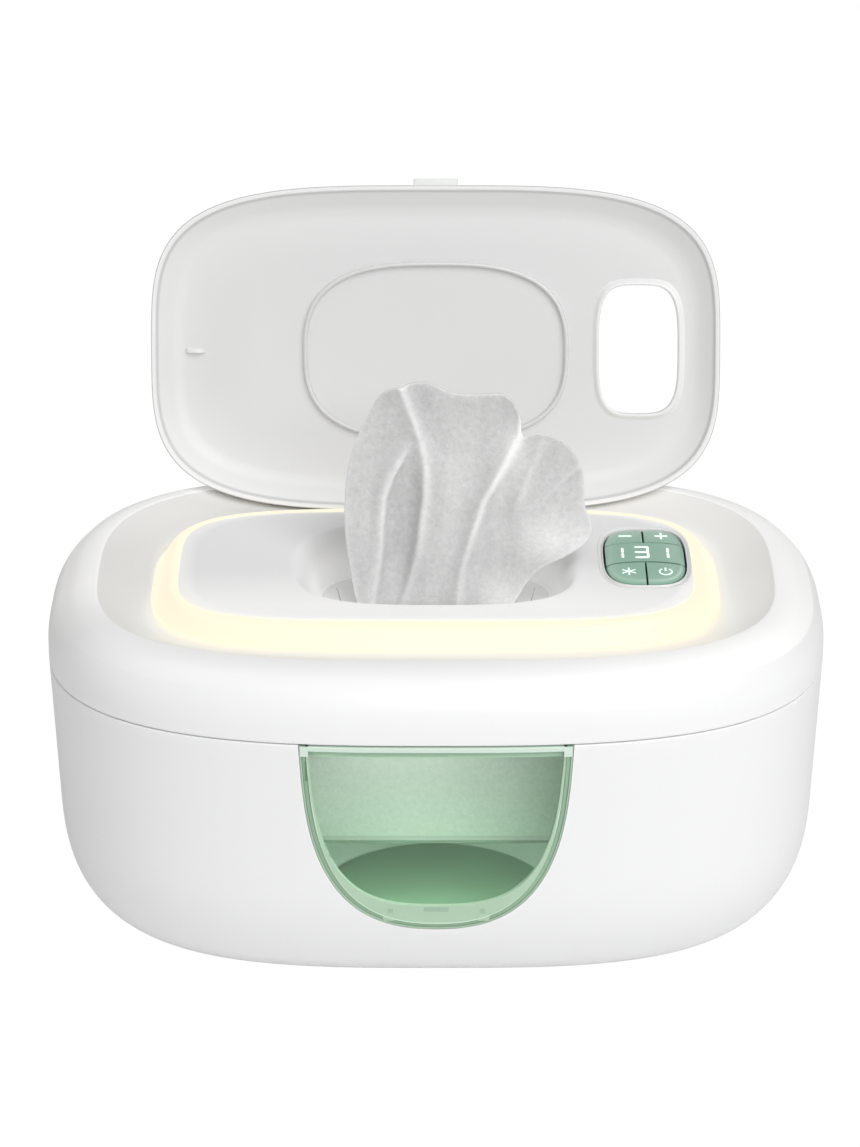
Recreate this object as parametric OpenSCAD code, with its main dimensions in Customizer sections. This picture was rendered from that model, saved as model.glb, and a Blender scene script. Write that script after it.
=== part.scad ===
// Baby wipe warmer: a rounded white housing with a hinged top cover, a lidded
// dispenser, a glowing light ring, four keys and a green front window.
// Origin: middle of the resting face. X runs to the right, Y to the rear, Z up.

/* [Housing] */
// Half of the width at the seam between base and cover
seam_hw = 126; // [125:0.1:127]
// Half of the depth at the seam
seam_hd = 87.6; // [87:0.1:88]
// Height of the seam
seam_z = 102; // [101.5:0.1:102.5]
// Squareness of the plan at the seam
seam_n = 2.87; // [2.75:0.01:3]
// Sideways taper of the base for each millimetre of height
base_draft = 0.049; // [0.04:0.001:0.06]
// Width of the round at the foot of the base
foot_rx = 68.5; // [67:0.1:69]
// Height of the round at the foot of the base
foot_rz = 53.2; // [52:0.1:54]
// Wall of the moulded shells
wall = 2.4; // [2:0.1:2.6]

/* [Dispenser] */
// Half of the width of the raised deck
deck_hw = 83.5; // [83.3:0.1:83.7]
// Half of the depth of the raised deck
deck_hd = 43.5; // [43.3:0.1:43.7]
// Top face of the deck
deck_z = 125.5; // [125.3:0.1:125.7]
// Squareness of the deck's plan
deck_n = 4.2; // [4:0.1:4.4]
// Half of the width of the funnel mouth
mouth_hw = 48.6; // [48:0.1:49]
// Half of the depth of the funnel mouth
mouth_hd = 34; // [33.5:0.1:34.5]
// Half of the length of the slit in the membrane
slit_hl = 33; // [30:0.5:34]

/* [Lid] */
// Half of the width of the lid
lid_hw = 96; // [95.5:0.1:96.5]
// Half of the depth of the lid
lid_hd = 54.8; // [54.5:0.1:55]
// Height of the lid's rim when it is closed
rim_z = 119.4; // [119.2:0.1:119.6]
// Squareness of the lid's plan
lid_n = 3.67; // [3.4:0.01:4]
// How far the lid is open, in degrees from closed
lid_open = 109.2; // [108:0.1:110]

/* [Front window] */
// Half of the width of the window at its top
window_hw = 42.6; // [42:0.1:43]
// Height of the window below the seam
window_h = 66.7; // [66:0.1:68]

/* [Wipes] */
// Height of the plate that lifts the wipes
lifter_z = 49; // [47:0.5:51]
// Top of the stack of wipes
stack_top = 101.8; // [98:0.1:101.8]

/* [Hidden] */
$fn = 48;
facets = 56;
tiny = 0.01;
seam_gap = 0.4;
pad_t = 1;
foot_power = 2.545;
floor_t = 2.2;
foot_n = seam_n + 0.26;

// The tank, its rounded foot and its window opening.
tank_hw = 110;
tank_hd = 68;
tank_n = 3.2;
tank_floor_z = 8;
tank_t = 1.4;
tank_top = 98.6;
tank_foot_r = 46;
tank_foot_h = 34;
flange_z = 97;
plate_r = 40.2;
plate_y = -14;

// The oblong plates inside the cover.
frame_z = 106;
frame_t = 1.6;
deck_y = -1.2;
lip_grow = 8.4;
lip_n = 3.4;
throat = [37.8, 27];
throat_n = 3.6;
mouth_n = 2.95;
membrane_z = 107.8;
funnel_z = 109;

// The control panel and its three rows.
panel_x = 68.3;
panel_y = 4.2;
panel_hw = 13.4;
panel_hd = 22.35;
panel_n = 3.36;
row_sag = 2.3;
key_hw = panel_hw - 0.3;
key_hd = panel_hd - 0.35;
far_split = 8.4;
near_split = -7.2;
key_gap = 0.35;
key_low = 123.2;
key_top = 126;
board_z = 116.4;
board_t = 1.6;

// Hinges.
cover_axis = [90.9, 102.1];
lid_axis = [55.5, 119.4];
pin_r = 1.5;
bore_r = 1.55;
knuckle_r = 3;
lid_hinge_x = 17;
lid_knuckle_w = 14;
ear_t = 3;

// Lid depth and the hole over the panel.
liner_z = 128.4;
liner_t = 1.2;
hole_hw = 14.25;
hole_hd = 21.4;
hole_n = 3.6;
hole_x = 68.7;
hole_y = 2;
rib_hw = 44.7;
rib_hd = 30;
rib_y = 1.3;

white = "#eeeeec";
soft_white = "#e2e2df";
leaf_green = "#8fbf9c";
deep_green = "#4f7f5c";
glow = "#fff3d6";
steel = "#b9bcc0";
board = "#2f6b45";
rubber = "#8d9092";
clear = "#dfe6e4";
cloth = "#e6e9e8";

// ---- shapes that several parts use ----

function signed_power(v, p) = sign(v) * pow(abs(v), p);
// A rounded oblong of half sizes a and b, squarer as n grows.
function oblong(a, b, n, count = facets) = [for (k = [0:count - 1])
    let (t = 360 * k / count) [a * signed_power(cos(t), 2 / n), b * signed_power(sin(t), 2 / n)]];
function at_height(outline, z) = [for (p = outline) [p[0], p[1], z]];
function shifted(outline, x, y) = [for (p = outline) [p[0] + x, p[1] + y]];
function mix(a, b, t) = a + (b - a) * t;
// The deck's outline, grown outwards over the light ring to the cover's lip.
function deck_outline(grow) = shifted(oblong(deck_hw + grow, deck_hd + grow,
    mix(deck_n, lip_n, min(1, max(0, grow / lip_grow)))), 0, deck_y);

// A closed skin through rings of equal length, capped at both ends.
module skin(rings) {
    n = len(rings[0]);
    last = len(rings) - 1;
    polyhedron(
        points = [for (r = rings) each r],
        faces = concat(
            [[for (k = [0:n - 1]) k]],
            [[for (k = [n - 1:-1:0]) last * n + k]],
            skin_sides(n, last)));
}

// The same for a thin curved sheet: each ring runs along one face and back
// along the other, and the ends are closed by strips between the two.
module sheet_skin(rings) {
    n = len(rings[0]);
    last = len(rings) - 1;
    strip = [for (k = [0:n / 2 - 2]) [k, k + 1, n - 2 - k, n - 1 - k]];
    polyhedron(
        points = [for (r = rings) each r],
        faces = concat(
            strip,
            [for (q = strip) [for (k = [3:-1:0]) last * n + q[k]]],
            skin_sides(n, last)));
}

// A skin that closes on itself, for a part that goes all round.
module loop_skin(rings) {
    n = len(rings[0]);
    count = len(rings);
    polyhedron(
        points = [for (r = rings) each r],
        faces = [for (i = [0:count - 1]) let (j = (i + 1) % count) for (k = [0:n - 1])
            let (m = (k + 1) % n) each
            [[i * n + k, j * n + k, j * n + m], [i * n + k, j * n + m, i * n + m]]]);
}

function skin_sides(n, last) = [for (i = [0:last - 1]) for (k = [0:n - 1])
    let (a = i * n + k, b = i * n + (k + 1) % n)
    each [[a, a + n, b + n], [a, b + n, b]]];

module slab(outline, z0, z1) {
    translate([0, 0, z0])
        linear_extrude(z1 - z0)
            polygon(outline);
}

// An upright wall between two outlines.
module wall_ring(outer, inner, z0, z1) {
    difference() {
        slab(outer, z0, z1);
        slab(inner, z0 - 1, z1 + 1);
    }
}

module box(low, high) {
    translate(low) cube(high - low);
}

// A round bar along X from x0 to x1, on the axis at y and z.
module bar_x(x0, x1, axis, r) {
    translate([x0, axis[0], axis[1]]) rotate([0, 90, 0]) cylinder(h = x1 - x0, r = r);
}

module both_sides() {
    children();
    mirror([1, 0, 0]) children();
}

// The lid is drawn closed, and then stands open.
module opened() {
    translate([0, lid_axis[0], lid_axis[1]])
        rotate([-lid_open, 0, 0])
            translate([0, -lid_axis[0], -lid_axis[1]])
                children();
}

// ---- base ----

// How far the base's side lies inside the seam outline at a height.
function foot_curve(z) = z >= foot_rz ? 0
    : 1 - pow(1 - pow((foot_rz - z) / foot_rz, foot_power), 1 / foot_power);
function base_inset(z) = base_draft * (seam_z - z) + foot_rx * foot_curve(z);
function base_n(z) = mix(foot_n, seam_n, z / seam_z);
function base_ring(z, extra = 0, up = 0) = let (s = base_inset(z - up) + extra)
    at_height(oblong(seam_hw - s, seam_hd - s, base_n(z - up)), z);
// The front surface of the base at a point of its elevation.
function front_y(x, z) = let (s = base_inset(z), n = base_n(z))
    -(seam_hd - s) * pow(1 - pow(abs(x) / (seam_hw - s), n), 1 / n);

// The window's curved side: [across power, down power, share lost in width at the bottom].
rim_curve = [2.32, 3.26, 0.086];
pane_curve = [2.89, 3.56, 0.113];
function window_side(t, hw, h, curve) = let (down = pow(abs(sin(t)), 2 / curve[1]))
    [hw * signed_power(cos(t), 2 / curve[0]) * (1 - curve[2] * down), seam_z - h * down];
function window_outline(hw, h, top) = concat([[-hw, top]],
    [for (t = [180:10:360]) window_side(t, hw, h, rim_curve)], [[hw, top]]);

module base_shell() {
    rim = seam_z - seam_gap / 2;
    outer = [pad_t, 1.5, 2.6, 4.6, 7.8, 12.4, 19, 28, 39, foot_rz, 76, rim];
    inner = [rim, 76, foot_rz, 40, 29, 20.6, 14.2, 9.8, 6.8, 4.8, pad_t + floor_t];
    color(white) difference() {
        skin(concat([for (z = outer) base_ring(z)], [for (z = inner) base_ring(z, wall, floor_t)]));
        // front window
        rotate([90, 0, 0]) translate([0, 0, 60]) linear_extrude(40)
            polygon(window_outline(window_hw + 0.3, window_h + 0.3, seam_z + 2));
        // notch for the hinge leaf
        box([-31.2, 80, 90], [31.2, 94, seam_z + 1]);
        // power inlet
        translate([40, 90, 56]) rotate([90, 0, 0]) cylinder(h = 20, r = 5);
        // opening under the heater
        slab(oblong(46.3, 26.3, 4), 0, 4);
    }
}

module non_slip_pad() {
    color(rubber) slab(oblong(62, 31, 3.2), 0, pad_t);
}

module bottom_cover() {
    color(soft_white) difference() {
        slab(oblong(46, 26, 4), pad_t, 3);
        for (x = [-38, 38], y = [-16, 16]) {
            translate([x, y, pad_t - 1]) cylinder(h = 5, r = 1.5);
            translate([x, y, pad_t - 1]) cylinder(h = 2.1, r = 2.8);
        }
    }
}

module bottom_screws() {
    color(steel) for (x = [-38, 38], y = [-16, 16]) {
        translate([x, y, pad_t + 0.1]) cylinder(h = 1, r = 2.6);
        translate([x, y, pad_t + 1]) cylinder(h = 4.1, r = 1.25);
    }
}

// The frame's four corners in section, at one place along the window's edge.
function frame_section(o, i) = [
    [o[0], front_y(o[0], o[1]), o[1]], [i[0], front_y(i[0], i[1]) + 0.3, i[1]],
    [i[0], front_y(i[0], i[1]) + 2.6, i[1]], [o[0], front_y(o[0], o[1]) + 2.6, o[1]]];

module window_frame() {
    top = seam_z - 0.5;
    bar = 2;
    sweep = [180:7.5:360];
    lower = [for (t = sweep) frame_section(window_side(t, window_hw, window_h - 0.5, rim_curve) - [0, 0.5],
        window_side(t, window_hw - 2.7, window_h - 12, pane_curve) - [0, 2.9])];
    upper = [for (x = [0.6:-0.3:-0.6]) frame_section([window_hw * x, top],
        [(window_hw - 2.7) * x, top - bar])];
    color(leaf_green) loop_skin(concat(lower, upper));
}

module front_window() {
    hw = window_hw - 2.9;
    h = window_h - 9.4;
    rows = [for (t = [88, 80, 70, 58, 46, 34, 22, 10]) window_side(180 + t, hw, h, pane_curve)];
    across = [-1:0.25:1];
    function pane_row(p, y0, y1) = concat(
        [for (s = across) [-p[0] * s, front_y(p[0] * s, p[1]) + y0, p[1]]],
        [for (s = across) [p[0] * s, front_y(p[0] * s, p[1]) + y1, p[1]]]);
    top = [-hw, seam_z - 2.9];
    color(deep_green, 0.5) sheet_skin([for (p = concat(rows, [top])) pane_row(p, 0.6, 2.4)]);
}

// The tank narrows to its floor on a round of its own.
function tank_curve(z) = let (t = (tank_foot_h + 2.8 - z) / tank_foot_h) t <= 0 ? 0
    : 1 - pow(1 - pow(t, 2.2), 1 / 2.2);
function tank_inset(z) = 0.03 * (tank_top - z) + tank_foot_r * tank_curve(z);
function tank_ring(z, extra = 0, up = 0) = let (s = tank_inset(z - up) + extra)
    at_height(oblong(tank_hw - s, tank_hd - s, tank_n, 48), z);

module wipe_tank() {
    base_z = tank_floor_z - tank_t;
    outer = [base_z, 8.4, 12, 19, 36.8, flange_z];
    inner = [tank_top, 38.2, 26, 17.4, 12.4, 9.6, tank_floor_z];
    rim = oblong(122.6, 84.2, seam_n, 48);
    flange = [at_height(rim, flange_z), at_height(rim, tank_top)];
    color(soft_white) difference() {
        union() {
            skin(concat([for (z = outer) tank_ring(z)], flange,
                [for (z = inner) tank_ring(z, tank_t, tank_t)]));
            for (x = [-38, 38], y = [-16, 16])
                translate([x, y, 3.2]) cylinder(h = base_z - 3.2 + tiny, r = 3.4);
        }
        for (x = [-38, 38], y = [-16, 16])
            translate([x, y, 3]) cylinder(h = 3.4, r = 1.3);
        // the view into the tank
        rotate([90, 0, 0]) translate([0, 0, 50]) linear_extrude(25)
            polygon(shifted(oblong(47, 35.4, 6, 32), 0, 61.2));
    }
}

module heater_plate() {
    color(steel) intersection() {
        translate([0, plate_y, tank_floor_z]) cylinder(h = 1, r = plate_r, $fn = 96);
        box([-50, -40.4, 7], [50, 50, 10]);
    }
}

module heater_film() {
    color("#b5713a") translate([0, 0, 6.2]) cylinder(h = 0.4, r = 33);
}

module insulation_pad() {
    color("#d8d4c8") translate([0, 0, 3.4]) cylinder(h = 2.8, r = 33);
}

module thermal_fuse() {
    color("#c9c2b2") bar_x(48, 58, [4, 5.2], 1.4);
}

module warmth_sensor() {
    color("#3a3a3c") box([-56, 2, 4], [-50, 6, 6.6]);
}

module power_board() {
    color(board) {
        box([-32, 70.6, 40], [20, 72.2, 78]);
        box([-26, 72.2, 46], [-12, 76, 62]);
        box([0, 72.2, 50], [12, 75, 58]);
        for (x = [-28, 16], z = [44, 74])
            translate([x, 70.7, z]) rotate([90, 0, 0]) cylinder(h = 2.6, r = 1.8);
    }
}

module power_inlet() {
    color("#2b2c2e") translate([40, 2, 56]) rotate([90, 0, 0]) difference() {
        union() {
            translate([0, 0, -84]) cylinder(h = 1.1, r = 6.2);
            translate([0, 0, -83]) cylinder(h = 9, r = 4.7);
            translate([-5, -5.5, -75]) cube([10, 11, 3]);
        }
        translate([0, 0, -85]) cylinder(h = 9, r = 2.75);
    }
}

module base_hinge_leaf() {
    color(white) difference() {
        union() {
            box([-30.8, 84.5, 90.4], [30.8, 87.5, 101.6]);
            both_sides() {
                box([12, 87.4, 95], [22, cover_axis[0], cover_axis[1]]);
                bar_x(12, 22, cover_axis, knuckle_r);
            }
        }
        bar_x(-40, 40, cover_axis, bore_r);
    }
}

module cover_hinge_pin() {
    color(steel) bar_x(-30.4, 30.4, cover_axis, pin_r);
}

module cover_seal() {
    color(rubber) wall_ring(oblong(119.8, 81.4, seam_n, 48), oblong(117.4, 79, seam_n, 48),
        tank_top, 101.2);
}

// ---- wipes and their lifter ----

stack_hw = 94;
stack_hd = 49;
lifter_t = 2;
spring_x = 62;
spring_r = 7;
wire_r = 0.9;
spring_turns = 7;

module lifter_plate() {
    color(leaf_green) {
        slab(oblong(stack_hw + 1, stack_hd + 1, 5, 48), lifter_z, lifter_z + lifter_t);
        for (s = [-1, 1])
            translate([s * spring_x, 0, lifter_z - 5]) cylinder(h = 5 + tiny, r = 4.6);
    }
}

module wipe_stack() {
    color(cloth) slab(oblong(stack_hw, stack_hd, 5, 48), lifter_z + lifter_t, stack_top);
}

// One unbroken wire that climbs from the tank floor to the lifter.
module coil(z0, z1) {
    steps = 8 * spring_turns;
    rise = z1 - z0 - 2 * wire_r;
    skin([for (i = [0:steps])
        let (t = 360 * spring_turns * i / steps, z = z0 + wire_r + rise * i / steps)
        [for (k = [0:5]) let (s = 60 * k, r = spring_r + wire_r * cos(s))
            [r * cos(t), r * sin(t), z + wire_r * sin(s)]]]);
}

module lifter_springs() {
    color(steel) for (s = [-1, 1])
        translate([s * spring_x, 0, 0]) coil(tank_floor_z + 0.3, lifter_z - 0.1);
}

// ---- cover ----

// Each point of the shoulder: how far inside the seam it lies, and its height.
shoulder = [[0, 102.2], [0, 105], [0.1, 109], [0.9, 113], [2.95, 116.8], [5.7, 120],
    [8.6, 122.4], [12, 123.7], [15.2, 124], [17.2, 123.5], [20, 122], [25, 120.1],
    [28.4, 119.05], [30, 118.85], [33.9, 118.7], [33.9, 114.6], [31.4, 114.6], [31, 116.6], [24, 118],
    [17, 121], [12.6, 121.2], [7.4, 118.4], [4, 114.4], [2.4, 110], [wall, 102.2]];
shoulder_run = 33.9;

function shoulder_ring(p) = let (t = p[0] / shoulder_run)
    at_height(shifted(oblong(mix(seam_hw, deck_hw + lip_grow, t), mix(seam_hd, deck_hd + lip_grow, t),
        mix(seam_n, lip_n, t)), 0, deck_y * t), p[1]);

module cover_shell() {
    color(white) difference() {
        loop_skin([for (p = shoulder) shoulder_ring(p)]);
        box([-72, 50, 112.6], [72, 70.6, 130]);
        box([-31.2, 82, 100], [31.2, 94, 110.4]);
    }
}

module cover_hinge_leaf() {
    color(white) difference() {
        union() {
            box([-30.8, 84.7, 102.7], [30.8, 87.5, 110]);
            for (span = [[-30.4, -22.4], [-11.6, 11.6], [22.4, 30.4]]) {
                box([span[0], 87.4, cover_axis[1]], [span[1], cover_axis[0], 108]);
                bar_x(span[0], span[1], cover_axis, knuckle_r);
            }
        }
        bar_x(-40, 40, cover_axis, bore_r);
    }
}

module cover_catches() {
    color(white) both_sides() {
        box([46, -81.5, 99.4], [52, -80, 110]);
        box([46, -81.8, 99.4], [52, -81.5 + tiny, 100.4]);
    }
}

module inner_frame() {
    floor_top = frame_z + frame_t;
    color(soft_white) {
        difference() {
            slab(deck_outline(10.3), frame_z, floor_top);
            slab(oblong(throat[0], throat[1], throat_n, 48), frame_z - 1, floor_top + 1);
        }
        wall_ring(deck_outline(10.3), deck_outline(8.9), floor_top - tiny, 114.5);
        for (x = [58.6, 76.6], y = [-12.4, 12])
            translate([x, y, floor_top - tiny]) cylinder(h = board_z - floor_top + tiny, r = 1.8);
    }
}

module light_strip() {
    color("#f6efd8") wall_ring(deck_outline(7.6), deck_outline(1.2), frame_z + frame_t,
        frame_z + frame_t + 1.2);
}

// The glowing ring in section: how far outside the deck, and height.
ring_section = [[0.25, 122.7], [1.4, 122.7], [3.1, 121], [4.9, 118.6], [4.9, 108.9], [6.5, 108.9],
    [6.5, 117.4], [8.1, 117.6], [8.1, 118.9], [5.4, 122.1], [2.4, 124.7], [0.25, 125.3]];

module light_ring() {
    color(glow) loop_skin([for (p = ring_section) at_height(deck_outline(p[0]), p[1])]);
}

module dispenser_deck() {
    low = deck_z - wall;
    color(white) {
        difference() {
            slab(deck_outline(0), low, deck_z);
            slab(oblong(mouth_hw + 0.1, mouth_hd + 0.1, mouth_n, 48), low - 1, deck_z + 1);
            slab(shifted(oblong(panel_hw + 0.7, panel_hd + 0.7, panel_n), panel_x, panel_y),
                low - 1, deck_z + 1);
        }
        wall_ring(deck_outline(0), deck_outline(-1.1), frame_z + frame_t, low + tiny);
    }
}

// The funnel in section: how far from the mouth to the throat, and height.
funnel_section = [[0, deck_z], [0.12, 125.45], [0.26, 125.1], [0.4, 124.1], [0.55, 122], [0.68, 119],
    [0.82, 115], [1, funnel_z], [0.78, funnel_z], [0.64, 114], [0.5, 118.4], [0.34, 121.4],
    [0.18, 122.9], [0, 123.1]];

module funnel() {
    color(white) loop_skin([for (p = funnel_section)
        at_height(oblong(mix(mouth_hw, throat[0], p[0]), mix(mouth_hd, throat[1], p[0]),
            mix(mouth_n, throat_n, p[0]), 48), p[1])]);
}

// A slit that the wipe holds open in the middle.
function slit_half_width(x) = 0.6 + 5.4 * pow(max(0, cos(90 * x / slit_hl)), 1.5);

module slit_membrane() {
    along = [for (k = [-10:10]) slit_hl * k / 10];
    color(clear) difference() {
        slab(oblong(throat[0] + 3.2, throat[1] + 3.2, throat_n, 48), membrane_z, funnel_z - 0.1);
        slab(concat([for (x = along) [x, -slit_half_width(x)]],
            [for (k = [10:-1:-10]) [slit_hl * k / 10, slit_half_width(slit_hl * k / 10)]]),
            membrane_z - 1, funnel_z + 1);
    }
}

module membrane_retainer() {
    color(soft_white) wall_ring(oblong(throat[0] + 4.8, throat[1] + 4.8, throat_n, 48),
        oblong(throat[0] + 3.3, throat[1] + 3.3, throat_n, 48), frame_z + frame_t, funnel_z + 1.4);
}

// ---- control panel ----

function split_y(x, y) = y + row_sag * (1 - pow(x / panel_hw, 2));
function panel_edge(x) = key_hd * pow(max(0, 1 - pow(abs(x) / key_hw, panel_n)), 1 / panel_n);
// Outline of one panel piece between x0 and x1, from its near to its far edge.
function piece_outline(x0, x1, near, far) = let (steps = 10) concat(
    [for (k = [0:steps]) let (x = mix(x0, x1, k / steps)) [x, near == "edge" ? -panel_edge(x) : split_y(x, near)]],
    [for (k = [steps:-1:0]) let (x = mix(x0, x1, k / steps)) [x, far == "edge" ? panel_edge(x) : split_y(x, far)]]);

module panel_slab(outline, z0, z1) {
    slab(shifted(outline, panel_x, panel_y), z0, z1);
}

// A key: its cap, a smaller crown on top and the stem that meets its switch.
module key(x0, x1, near, far, stem_y) {
    outline = piece_outline(x0, x1, near, far);
    middle = [(x0 + x1) / 2, stem_y];
    color(leaf_green) {
        panel_slab(outline, key_low, key_top - 0.5);
        panel_slab([for (p = outline) mix(p, middle, 0.07)], key_top - 0.5 - tiny, key_top);
        translate([panel_x + middle[0], panel_y + stem_y, 121.2])
            cylinder(h = key_low - 121.2 + tiny, r = 1.3);
    }
}

key_edge = 12.9;
key_inner = 0.3;
far_row_y = 16;
near_row_y = -12;

module minus_key() { key(-key_edge, -key_inner, far_split + key_gap, "edge", far_row_y); }
module plus_key() { key(key_inner, key_edge, far_split + key_gap, "edge", far_row_y); }
module mode_key() { key(-key_edge, -key_inner, "edge", near_split - key_gap, near_row_y); }
module power_key() { key(key_inner, key_edge, "edge", near_split - key_gap, near_row_y); }

module panel_bezel() {
    color(white) {
        difference() {
            panel_slab(oblong(panel_hw + 0.5, panel_hd + 0.5, panel_n, 64), 121.6, deck_z + tiny);
            panel_slab(oblong(panel_hw + 0.05, panel_hd + 0.1, panel_n, 64), 120, 130);
        }
        difference() {
            panel_slab(oblong(panel_hw + 1.2, panel_hd + 1.2, panel_n, 64), deck_z, deck_z + 0.5);
            panel_slab(oblong(panel_hw + 0.05, panel_hd + 0.1, panel_n, 64), 120, 130);
        }
    }
}

module display_lens() {
    color(leaf_green) panel_slab(piece_outline(-key_edge, key_edge, near_split, far_split),
        123.5, key_top - 0.1);
}

module digit_display() {
    color("#24382b") box([panel_x - 11, panel_y - 4, board_z + board_t],
        [panel_x + 11, panel_y + 7, 123.4]);
}

module control_board() {
    color(board) box([56.4, -14.6, board_z], [78.8, 23, board_z + board_t]);
}

module key_switches() {
    for (x = [-6.4, 6.4], y = [far_row_y, near_row_y]) {
        color("#2f3133") box([panel_x + x - 2.6, panel_y + y - 2.4, board_z + board_t],
            [panel_x + x + 2.6, panel_y + y + 2.4, 119.6]);
        color(steel) translate([panel_x + x, panel_y + y, 119.6 - tiny]) cylinder(h = 0.6, r = 1.2);
    }
}

// ---- lid ----

module lid_hinge_bracket() {
    color(white) difference() {
        union() {
            difference() {
                box([-71.6, 53.6, 112.8], [71.6, 70.4, 118.2]);
                both_sides() box([lid_hinge_x - 11, 53, 114.4], [lid_hinge_x + 11, 62, 120]);
            }
            both_sides() {
                for (x = [-1, 1]) {
                    ear = lid_hinge_x + x * (lid_knuckle_w / 2 + 0.3 + ear_t / 2);
                    box([ear - ear_t / 2, 53.6, 113], [ear + ear_t / 2, lid_axis[0] + 2.6, lid_axis[1]]);
                    bar_x(ear - ear_t / 2, ear + ear_t / 2, lid_axis, 2.8);
                }
            }
        }
        bar_x(-60, 60, lid_axis, bore_r);
    }
}

module lid_hinge_pins() {
    reach = lid_knuckle_w / 2 + 0.3 + ear_t;
    color(steel) both_sides() bar_x(lid_hinge_x - reach, lid_hinge_x + reach, lid_axis, pin_r);
}

// The lid in section: how far inside its rim, and height over the rim.
lid_outer = [[0, 0], [0, 2], [0.5, 4.6], [1.9, 7.4], [4.4, 9.8], [8, 11.5], [13, 12.5], [22, 13]];
lid_inner = [[20, 10.8], [9.2, 10.4], [6, 8.6], [4.2, 6.2], [2.8, 3.4], [2.3, 0]];

module lid_shell() {
    function lid_ring(p) = at_height(oblong(lid_hw - p[0], lid_hd - p[0], lid_n), rim_z + p[1]);
    color(white) opened() difference() {
        union() {
            skin([for (p = concat(lid_inner, lid_outer)) lid_ring(p)]);
            box([-7.4, -57, rim_z + 0.6], [7.4, -54, rim_z + 4]);
        }
        slab(shifted(oblong(hole_hw, hole_hd, hole_n, 48), hole_x, hole_y), 120, 140);
        both_sides() box([lid_hinge_x - 11, 45, rim_z - 4], [lid_hinge_x + 11, 60, rim_z + 3.4]);
    }
}

module lid_liner() {
    hole = shifted(oblong(hole_hw, hole_hd, hole_n, 48), hole_x, hole_y);
    color(soft_white) opened() difference() {
        union() {
            slab(oblong(86.5, 45.3, lid_n), liner_z, liner_z + liner_t);
            slab(shifted(oblong(hole_hw + 1.7, hole_hd + 1.7, hole_n, 48), hole_x, hole_y),
                liner_z - 2, liner_z + tiny);
            // small half-round finger rib
            translate([-81.5, 1, liner_z + 0.6]) rotate([90, 0, 0]) cylinder(h = 1.5, r = 2.9);
        }
        slab(hole, 120, 140);
        box([-90, -5, liner_z + liner_t], [-70, 5, 140]);
    }
}

module lid_seal() {
    color(white) opened() wall_ring(
        shifted(oblong(rib_hw, rib_hd, 2.8), 0, rib_y), shifted(oblong(rib_hw - 1.4, rib_hd - 1.4, 2.8), 0, rib_y),
        liner_z - 2, liner_z);
}

module lid_hinge_leaves() {
    color(white) opened() difference() {
        both_sides() {
            x0 = lid_hinge_x - lid_knuckle_w / 2;
            x1 = lid_hinge_x + lid_knuckle_w / 2;
            bar_x(x0, x1, lid_axis, 2.8);
            box([x0, 50, rim_z + 0.9], [x1, lid_axis[0], rim_z + 2.8]);
            box([x0, 50, rim_z + 0.9], [x1, 51, rim_z + 5]);
        }
        bar_x(-60, 60, lid_axis, bore_r);
    }
}

// ---- the wipe that stands in the slit ----

// Height, left edge, right edge, depth of the folds and lean to the rear.
wipe_rows = [[103, -20, 20, 0.4, 0], [109, -22, 22, 0.6, 0], [114, -24, 24, 1.6, 0],
    [120, -26.5, 29, 3.4, 0], [125.5, -27.5, 37, 5, 0.4], [131, -28.4, 45, 6.4, 0.8],
    [138, -29, 50, 7.6, 1.4], [146, -29.4, 48.5, 8.4, 2], [154, -28.6, 47, 8.8, 2.6],
    [161, -27.2, 45.6, 8.6, 3.2], [165.5, -25.6, 41, 8, 3.6], [169, -24.2, 30, 7, 3.8],
    [174, -22, 27, 6, 4], [179, -19.6, 25.4, 4.6, 4.2], [183, -16.5, 21, 3, 4.2], [186, -11, 2, 1.6, 4]];
wipe_t = 1.2;

function wipe_fold(u, depth) = depth * 0.55 * (sin(430 * u + 40) + 0.45 * sin(900 * u));
function wipe_row(r) = let (steps = 22) concat(
    [for (k = [0:steps]) let (u = k / steps)
        [mix(r[1], r[2], u), r[4] + wipe_fold(u, r[3]) - wipe_t / 2, r[0]]],
    [for (k = [steps:-1:0]) let (u = k / steps)
        [mix(r[1], r[2], u), r[4] + wipe_fold(u, r[3]) + wipe_t / 2, r[0]]]);

module wipe() {
    color(cloth) sheet_skin([for (r = wipe_rows) wipe_row(r)]);
}

base_shell();
non_slip_pad();
bottom_cover();
bottom_screws();
window_frame();
front_window();
wipe_tank();
heater_plate();
heater_film();
insulation_pad();
thermal_fuse();
warmth_sensor();
power_board();
power_inlet();
base_hinge_leaf();
cover_hinge_pin();
cover_seal();
lifter_plate();
wipe_stack();
lifter_springs();
cover_shell();
cover_hinge_leaf();
cover_catches();
inner_frame();
light_strip();
light_ring();
dispenser_deck();
funnel();
slit_membrane();
membrane_retainer();
control_board();
key_switches();
digit_display();
display_lens();
panel_bezel();
minus_key();
plus_key();
mode_key();
power_key();
lid_hinge_bracket();
lid_hinge_pins();
lid_shell();
lid_liner();
lid_seal();
lid_hinge_leaves();
wipe();
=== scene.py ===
"""Looks for the baby wipe warmer: smooth moulded shells, a glowing ring, a tinted window, keys and a wipe.

Lengths are in millimetres, in the same frame as the construction. They become metres when a mesh is made.
"""
import math
import bmesh
import bpy
from mathutils import Matrix, Vector, noise


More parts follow.
